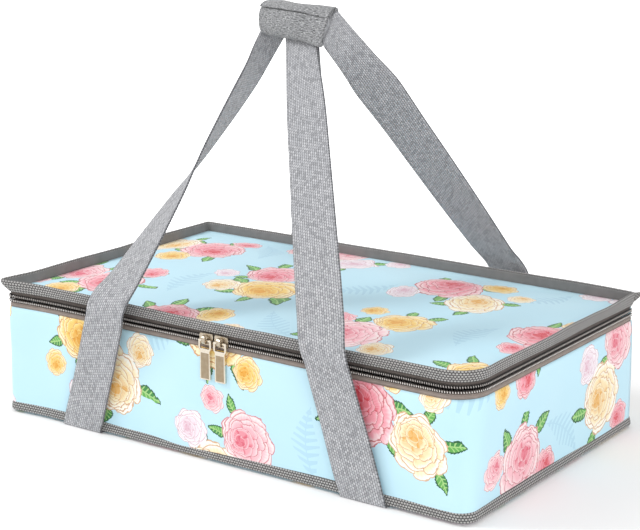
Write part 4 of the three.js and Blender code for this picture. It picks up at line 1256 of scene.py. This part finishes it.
def leg_line(side, face, under):
    """A leg's middle line: from under the base, round the bottom edge, past the rim to the grip."""
    if face < 0:
        foot_x, rim_x, top_x = FOOT_X + FRONT_FOOT_SHIFT * side, RIM_X, TOP_X
    else:
        foot_x, rim_x, top_x = FOOT_X, RIM_X + BACK_RIM_SHIFT * side, TOP_X + BACK_TOP_SHIFT * side
    rise = lambda share: blend_between(PIVOT_Z, LIP_TOP, share)
    swing = lambda share: blend_between(foot_x, rim_x, share)
    points = [
        (foot_x, FOOT_OUT, FOOT_LEVEL),
        (swing(0.16), blend_between(FOOT_OUT, MIDDLE_OUT, 0.3), rise(0.16)),
        (swing(0.48), MIDDLE_OUT, rise(0.48)),
        (swing(0.84), blend_between(MIDDLE_OUT, RIM_OUT, 0.8), rise(0.84)),
        (rim_x, RIM_OUT, LIP_TOP),
        (top_x, 0.0, LIP_TOP + BEND_RISE),
    ]
    line = np.array([[side * x, face * (DEPTH / 2 + out), z] for x, out, z in points])
    return spline(np.concatenate([line, under]), LEG_STEPS)


def leg_rows(line, direction, shares, twist, level):
    """Rows across a leg: its middle + share of its width, square to its line above the foot.

    level is how far a row keeps to its given direction instead, where it goes into the grip."""
    tangent = tangents(line)
    inline = np.sum(direction * tangent, 1, keepdims=True)
    square = direction - tangent * inline
    square /= np.linalg.norm(square, axis=1, keepdims=True)
    low = eased(np.maximum(0.0, 1 - (line[:, 2] - PIVOT_Z) / FOOT_SKEW_HEIGHT))[:, None]
    low = np.maximum(low, level[:, None])
    across = turned(blend_between(square, direction, low), tangent, twist)
    across /= np.linalg.norm(across, axis=1, keepdims=True)
    return line[:, None] + across[:, None] * (shares * STRAP_WIDTH)[None, :, None]


def foot_rows(first, face):
    """The webbing's turn under the base: a quarter round from the leg's first row, then flat.

    The quarter is its middle + r (out cos a, -sin a), with a from 90 degrees down to 0."""
    angle = np.linspace(math.pi / 2, 0.0, 6)[:-1]
    quarter = face * (PIVOT_Y - FOOT_RADIUS) + face * FOOT_RADIUS * np.cos(angle)
    y = np.concatenate([face * np.array([118.0, 121.5]), quarter])
    z = np.concatenate([[BASE_STRAP_LEVEL] * 2, FOOT_LEVEL - FOOT_RADIUS * np.sin(angle)])
    rows = np.repeat(first[None], len(y), 0)
    rows[..., 1], rows[..., 2] = y[:, None], z[:, None]
    return rows


def strap_cloth(grid):
    """Cloth coordinates of a strap: across its width, and along by the length of its middle."""
    steps = np.linalg.norm(np.diff(grid[:, grid.shape[1] // 2], axis=0), axis=1)
    along = np.concatenate([[0.0], np.cumsum(steps)])
    across = np.linspace(0.0, STRAP_WIDTH, grid.shape[1])
    return np.stack(np.broadcast_arrays(across[None, :], along[:, None]), -1)


def strap_grids(face, end_points, turn_keys, end_row, start):
    """A handle's webbing as grids: the leg through the slot, the fold in the grip, the end leg.

    turn_keys give the end leg's turn in degrees for shares of its length. From start on, the
    leg runs straight to end_row, the two corners where it meets the pad, and then tucks in."""
    line = tube_line()
    lengths = np.concatenate([[0.0], np.cumsum(np.linalg.norm(np.diff(line, axis=0), axis=1))])
    want = np.linspace(0.0, lengths[-1], STRAP_COLUMNS)
    line = np.stack([np.interp(want, lengths, line[:, i]) for i in range(2)], 1)
    shares = np.linspace(-0.5, 0.5, STRAP_COLUMNS)
    alongs = SLOT_ALONG + face * shares * STRAP_WIDTH
    inside = in_grip(alongs[None, :], -face * line[:, :1], line[:, 1:])

    t = np.linspace(0.0, 1.0, LEG_STEPS + 1)
    slot_line = leg_line(-face, face, [in_grip(SLOT_ALONG, -face, -9.6)])
    way = blend_between(np.array([[1.0, 0, 0]]), ALONG[None], eased(t)[:, None]) * face
    way /= np.linalg.norm(way, axis=1, keepdims=True)
    slot_leg = leg_rows(slot_line, way, shares, 0.0 * t, eased((t - 0.72) / 0.28))
    slot_leg = np.concatenate([foot_rows(slot_leg[0], face), slot_leg[:-1], inside[:1]])

    end_line = leg_line(face, face, end_points)
    way = np.repeat(np.array([[1.0, 0.0, 0.0]]), LEG_STEPS + 1, 0)
    end_leg = leg_rows(end_line, way, shares, np.radians(keyed(t, turn_keys)), 0.0 * t)
    corner, other = end_row
    last = corner + (shares + 0.5)[:, None] * (other - corner)
    first = end_leg[int(start * LEG_STEPS)]
    share = np.clip((t - start) / (TUCK_START - start), 0.0, 1.0)[:, None, None]
    straight = first + share * (last - first)
    tuck = np.clip((t - TUCK_START) / (1 - TUCK_START), 0.0, 1.0)[:, None, None]
    middle = last.mean(0)
    straight += tuck * (end_line[-1] - middle + (last - middle) * -0.25)
    end_leg = blend_between(end_leg, straight, eased((t - start) / 0.08)[:, None, None])
    end_leg = np.concatenate([foot_rows(end_leg[0], face), end_leg])
    return [(grid, strap_cloth(grid)) for grid in (slot_leg, inside, end_leg)]


# How the end legs turn about their own line: share of the length and degrees
FRONT_TURN = [
    (0.0, 0.0), (0.06, -5.0), (0.3, -6.0), (0.36, -13.0), (0.42, -18.0), (0.5, -27.0),
    (0.6, -39.0), (0.64, -47.0), (0.69, -54.0), (0.8, -64.0), (0.92, -72.0), (1.0, -78.0),
]
BACK_TURN = [
    (0.0, 0.0), (0.25, -8.0), (0.3, -12.0), (0.34, -5.0), (0.4, 1.0), (0.5, 6.0),
    (0.6, 9.0), (0.72, 11.0), (0.8, 16.0), (0.86, 19.0), (0.91, 14.0), (1.0, 6.0),
]


def keyed(t, keys):
    """Values read off a list of keys, smoothed by the mean of nine neighbours."""
    share, value = np.array(keys).T
    plain = np.interp(t, share, value)
    padded = np.concatenate([np.full(4, plain[0]), plain, np.full(4, plain[-1])])
    return np.convolve(padded, np.full(9, 1.0 / 9.0), "valid")


def leg_plans():
    """The grids of the front and back handles' webbing.

    The front handle's end leg goes in under the grip's left end, the back one's at its right."""
    under_end = [in_grip(-32.0, 1.5, -12.5), in_grip(-29.8, 0.0, -5.0)]
    at_end = [in_grip(36.8, 0.0, -0.4), in_grip(30.0, 0.0, 0.0)]
    under_row = in_grip(-31.0, -9.5, -12.2), in_grip(-37.0, 10.6, -9.2)
    at_row = in_grip(36.6, 6.3, -13.0), in_grip(36.2, -6.3, 12.2)
    return (
        strap_grids(-1, under_end, FRONT_TURN, under_row, 0.86),
        strap_grids(1, at_end, BACK_TURN, at_row, 0.8),
    )


class CARRIER_OT_webbing(Maker, bpy.types.Operator):
    """Make the webbing of the two handles and the runs under the base"""

    bl_idname = "carrier.webbing"
    bl_label = "Webbing"

    def make(self, look):
        front, back = leg_plans()
        for name, node, handle, face, grids in (
            ("front_webbing", "front_strap", "front_handle", -1, front),
            ("back_webbing", "back_strap", "back_handle", 1, back),
        ):
            piece = new_piece(name, grids, finish("webbing"), STRAP_SHEET, 0.0, even=False)
            face * 0.1215
            face * PIVOT_Y * MM
            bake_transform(piece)
            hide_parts(node)
        half = STRAP_WIDTH / 2
        for side, sign in (("left", -1), ("right", 1)):
            y = np.linspace(-119.0, 119.0, 30)[:, None]
            slant = FRONT_FOOT_SHIFT * eased((60.0 - y) / 160.0)
            x = sign * FOOT_X + slant + np.linspace(-half, half, STRAP_COLUMNS)[None, :]
            grid = np.stack(np.broadcast_arrays(x, y, BASE_STRAP_LEVEL), -1)
            grids = [(grid, strap_cloth(grid))]
            strip = new_piece(f"base_webbing_{side}", grids, finish("webbing"), STRAP_SHEET, 0.0)
            settle(strip, "tray", "webbing", f"base_strap_{side}")


# ---------------------------------------------------------------- the grip


def squarish(angle):
    """How far out a squarish ring lies, 1 at its top and sides: (|sin a|^n + |cos a|^n)^(-1/n)."""
    total = np.abs(np.sin(angle)) ** GRIP_SQUARENESS + np.abs(np.cos(angle)) ** GRIP_SQUARENESS
    return total ** (-1 / GRIP_SQUARENESS)


def grip_surface(radius, start, end, length, rows, columns):
    """Part of a squarish tube round the grip: middle + along + r (sin a to the front, cos a up).

    r is the radius times squarish(a). The angles are in degrees."""
    angle = np.radians(np.linspace(start, end, rows))[:, None]
    along = np.linspace(-length / 2, length / 2, columns)[None, :]
    out = np.sin(angle)[..., None] * TO_FRONT + np.cos(angle)[..., None] * UP
    out = np.broadcast_to(out, (rows, columns, 3))
    middle = GRIP_CENTRE + along[..., None] * ALONG + (radius * squarish(angle))[..., None] * out
    cloth = np.stack(np.broadcast_arrays(along + 200.0, angle * radius + 100.0), -1)
    return middle, out, cloth


def drawn_flat(piece):
    """Draws the grip's right end flat, as the strap that leaves it does.

    A point's parts along that strap's width and square to it are taken times 1 + 0.14 w and
    1 - 0.62 w, where w rises from 0 at 4 mm to 1 at 36 mm along the grip."""
    away = mesh_points(piece.data) - GRIP_CENTRE / 1000.0
    share = eased((away @ ALONG - 0.004) / 0.032)
    wide, deep = 0.447 * TO_FRONT - 0.894 * UP, 0.894 * TO_FRONT + 0.447 * UP
    wider, thinner = 0.14 * share * (away @ wide), 0.62 * share * (away @ deep)
    away += wider[:, None] * wide - thinner[:, None] * deep
    piece.data.vertices.foreach_set("co", (away + GRIP_CENTRE / 1000.0).ravel())
    piece.data.update()
    return piece


class CARRIER_OT_grip(Maker, bpy.types.Operator):
    """Make the padded halves of the grip, its flap and its closure tapes"""

    bl_idname = "carrier.grip"
    bl_label = "Grip"

    def make(self, look):
        rows, columns, inner, full, thin = 64, 72, 10.35, 2.9, 1.1
        length = GRIP_LENGTH + PAD_EXTRA
        front, back, top = (2.0, 152.0), (-8.0, -152.0), (-14.5, 47.0)
        # the front half is thin under the flap, and full below it and at both ends
        front_angle = np.linspace(*front, rows)[:, None]
        past_middle = np.abs(np.linspace(-length / 2, length / 2, columns)[None, :])
        ends = eased((past_middle - 31.4) / 2.4)
        below = eased((front_angle - 41.0) / 8.0)
        front_thick = thin + (full - thin) * below + (1.5 * ends) * (1.0 - below)
        back_thick = np.full((rows, 1), full)
        # the flap thins out towards the seam that it turns on
        flap_thick = 0.9 + 1.0 * eased((np.linspace(*top, rows)[:, None] - top[0]) / 16.0)
        flap_radius = 13.45 - flap_thick * 0.2 + flap_thick / 2
        for name, node, body, radius, thick, angles, rim in (
            ("front_pad", "grip_front_pad", "front_handle", inner + front_thick / 2, front_thick,
             front, 9.0),
            ("back_pad", "grip_back_pad", "back_handle", inner + back_thick / 2, back_thick,
             back, 5.0),
            ("top_flap", "grip_flap", "flap", flap_radius, flap_thick, top, 9.0),
        ):
            middle, out, cloth = grip_surface(radius, *angles, length, rows, columns)
            uneven = 0.22 * ripple(cloth[..., 0], cloth[..., 1], 30.0, 81)
            middle = middle + out * uneven[..., None]
            grip_cloth = finish("grip_cloth")
            pad = pillow(name, middle, out, cloth, thick, grip_cloth, 16.0, rim, lumps=0.06)
            settle(drawn_flat(pad), body, "grip_cloth", node)
        for name, node, body, radius in (
            ("loop_strip", "loop_tape", "front_handle", 11.775),
            ("hook_strip", "hook_tape", "flap", 12.625),
        ):
            middle, out, cloth = grip_surface(radius, 6.0, 35.0, GRIP_LENGTH - 5.2, 14, 40)
            pile = finish("closure_tape")
            strip = pillow(name, middle, out, cloth, 0.55, pile, 30.0, 12.0)
            settle(drawn_flat(strip), body, "closure_tape", node)
        self.cores()
        self.stitches()

    def cores(self):
        """Folded webbing that fills the pad: half a tube each for the front and the back half.

        The radius is times a flat-topped hump along the grip, so both ends close in a dome."""
        share = np.linspace(0.0, 1.0, 61)[None, :]
        along = (share - 0.5) * CORE_LENGTH
        radius = CORE_RADIUS * hump(share, 20.0)
        angle = np.radians(np.linspace(0.0, 180.0, 33))[:, None]
        round_up, flat_up = np.cos(angle) * squarish(angle), -np.cos(angle)
        cloth = np.stack(np.broadcast_arrays(angle * 9.0, along), -1)
        halves = ("front_core", "front_handle", 1), ("back_core", "back_handle", -1)
        for name, body, side in halves:
            round_front = side * np.sin(angle) * squarish(angle)
            outer = in_grip(along, radius * round_front, radius * round_up)
            inner = in_grip(along, radius * (side * 0.02), radius * flat_up)[:, ::-1]
            grids = [(outer, cloth), (inner, cloth[:, ::-1])]
            core = turned_out(new_piece(name, grids, finish("webbing")))
            settle(drawn_flat(core), body, "webbing")

    def stitches(self):
        """Rows of short stitches round the front half, two near each end.

        A stitch is a thin ring of 0.28 mm carried round the pad, its size a hump along it."""
        pad_radius, thick = 13.3, 0.28
        ring = np.linspace(0, 2 * math.pi, 6)[None, :]
        taper = hump(np.linspace(0, 1, 7), 2.5)[:, None]
        grids = []
        for along in (-33.0, -30.6, 31.2, 33.4):
            for start in np.arange(50.0, 144.0, 11.0):
                angle = np.radians(np.linspace(start, start + 7.0, 7))[:, None]
                lift = pad_radius * squarish(angle) + thick * taper * np.cos(ring)
                middle = along + thick * taper * np.sin(ring)
                point = in_grip(middle, lift * np.sin(angle), lift * np.cos(angle))
                cloth = np.stack(np.broadcast_arrays(ring * 0.3, angle * pad_radius), -1)
                grids.append((point, cloth))
        piece = turned_out(new_piece("front_pad_stitches", grids, finish("webbing")))
        settle(drawn_flat(piece), "front_handle", "webbing")


# ---------------------------------------------------------------- the stage


# In metres and degrees
FLOOR_HALF, WHITE_FROM_TO = 6.0, (0.25, 0.75)
LIGHTS_AIM = (0.0, 0.0, 0.08)
VIEW_PLACE, VIEW_AZIMUTH, VIEW_HEIGHT = (0.7605, -1.0753, 0.4634), 35.23, 14.42


class CARRIER_OT_stage(bpy.types.Operator):
    """Make the floor, the lights and the camera"""

    bl_idname = "carrier.stage"
    bl_label = "Stage"
    bl_options = {"REGISTER", "UNDO"}

    def execute(self, context):
        stage = context.scene.carrier_stage
        self.floor()
        self.world(context, stage)
        self.light("key_light", (-1.4, -0.85, 1.5), (0.5, 0.5), stage.key)
        self.light("fill_light", (1.6, -1.1, 0.95), (1.4, 1.0), stage.fill)
        self.camera(context, stage)
        context.scene.view_settings.view_transform = "Standard"
        return {"FINISHED"}

    def floor(self):
        """A white floor that keeps the carrier's shadow and goes over into the background."""
        half = FLOOR_HALF
        mesh = bpy.data.meshes.new("floor")
        corners = [(-half, -half, 0), (half, -half, 0), (half, half, 0), (-half, half, 0)]
        mesh.from_pydata(corners, [], [(0, 1, 2, 3)])
        plane = bpy.data.objects.new("floor", mesh)
        bpy.context.scene.collection.objects.link(plane)
        made, sums, shader = new_finish("pale_floor", 0.9, specular=0.0)
        place = sums.place()
        grain = sums.noise(place, 3.0, 1.0)
        sums.put(shader.inputs["Base Color"], sums.tint(grain, colour("ffffff"), colour("fdfdfd")))
        away = sums.far(*sums.parts(place)[:2])
        seen = Term(sums, sums.node("ShaderNodeLightPath").outputs["Is Camera Ray"])
        shader.inputs["Emission Color"].default_value = (1.0, 1.0, 1.0, 1.0)
        sums.put(shader.inputs["Emission Strength"], sums.ease(away, *WHITE_FROM_TO) * seen)
        mesh.materials.append(made)

    def world(self, context, stage):
        """Even light, and plain white where the world is seen directly, mirrored or through."""
        world = bpy.data.worlds.new("studio")
        context.scene.world = world
        world.use_nodes = True
        sums = Sums(world.node_tree)
        back = world.node_tree.nodes["Background"]
        back.inputs[0].default_value = (1.0, 1.0, 1.0, 1.0)
        rays = sums.node("ShaderNodeLightPath").outputs
        camera, glossy, through = (
            Term(sums, rays[f"Is {kind} Ray"]) for kind in ("Camera", "Glossy", "Transmission")
        )
        seen = sums.most(sums.most(camera, glossy), through)
        sums.put(back.inputs[1], sums.pick(seen, stage.surround, 1.0))

    def light(self, name, place, size, power):
        """A soft rectangular lamp, turned towards the carrier."""
        lamp = bpy.data.lights.new(name, "AREA")
        lamp.shape = "RECTANGLE"
        lamp.size, lamp.size_y = size
        lamp.energy = power
        made = bpy.data.objects.new(name, lamp)
        made.location = place
        aim = Vector(LIGHTS_AIM) - Vector(place)
        made.rotation_euler = aim.to_track_quat("-Z", "Y").to_euler()
        bpy.context.scene.collection.objects.link(made)

    def camera(self, context, stage):
        """Camera at the photograph's place, looking to the left, ahead and down."""
        azimuth, height = math.radians(VIEW_AZIMUTH), math.radians(VIEW_HEIGHT)
        level = math.cos(height)
        way = (-math.sin(azimuth) * level, math.cos(azimuth) * level, -math.sin(height))
        lens = bpy.data.cameras.new("camera")
        lens.sensor_fit = "HORIZONTAL"
        lens.sensor_width = 36.0
        lens.lens = stage.lens
        lens.clip_end = 50.0
        made = bpy.data.objects.new("camera", lens)
        made.location = VIEW_PLACE
        made.rotation_euler = Vector(way).to_track_quat("-Z", "Y").to_euler()
        context.scene.collection.objects.link(made)
        context.scene.camera = made


class CARRIER_PT_panel(bpy.types.Panel):
    """The carrier's settings and steps"""

    bl_idname = "CARRIER_PT_panel"
    bl_label = "Casserole Carrier"
    bl_space_type = "VIEW_3D"
    bl_region_type = "UI"
    bl_category = "Carrier"

    def draw(self, context):
        for group in (context.scene.carrier_look, context.scene.carrier_stage):
            box = self.layout.box()
            for name in group.__annotations__:
                box.prop(group, name)
        for step in STEPS:
            self.layout.operator(step.bl_idname)


STEPS = (
    CARRIER_OT_walls,
    CARRIER_OT_padding,
    CARRIER_OT_linings,
    CARRIER_OT_lid,
    CARRIER_OT_bindings,
    CARRIER_OT_zip,
    CARRIER_OT_sliders,
    CARRIER_OT_webbing,
    CARRIER_OT_grip,
    CARRIER_OT_stage,
)
CLASSES = (CarrierLook, CarrierStage, *STEPS, CARRIER_PT_panel)


def register():
    for cls in CLASSES:
        bpy.utils.register_class(cls)
    bpy.types.Scene.carrier_look = bpy.props.PointerProperty(type=CarrierLook)
    bpy.types.Scene.carrier_stage = bpy.props.PointerProperty(type=CarrierStage)


def unregister():
    del bpy.types.Scene.carrier_stage
    del bpy.types.Scene.carrier_look
    for cls in reversed(CLASSES):
        bpy.utils.unregister_class(cls)


def main():
    register()
    for step in STEPS:
        group, name = step.bl_idname.split(".")
        getattr(getattr(bpy.ops, group), name)()


if __name__ == "__main__":
    main()
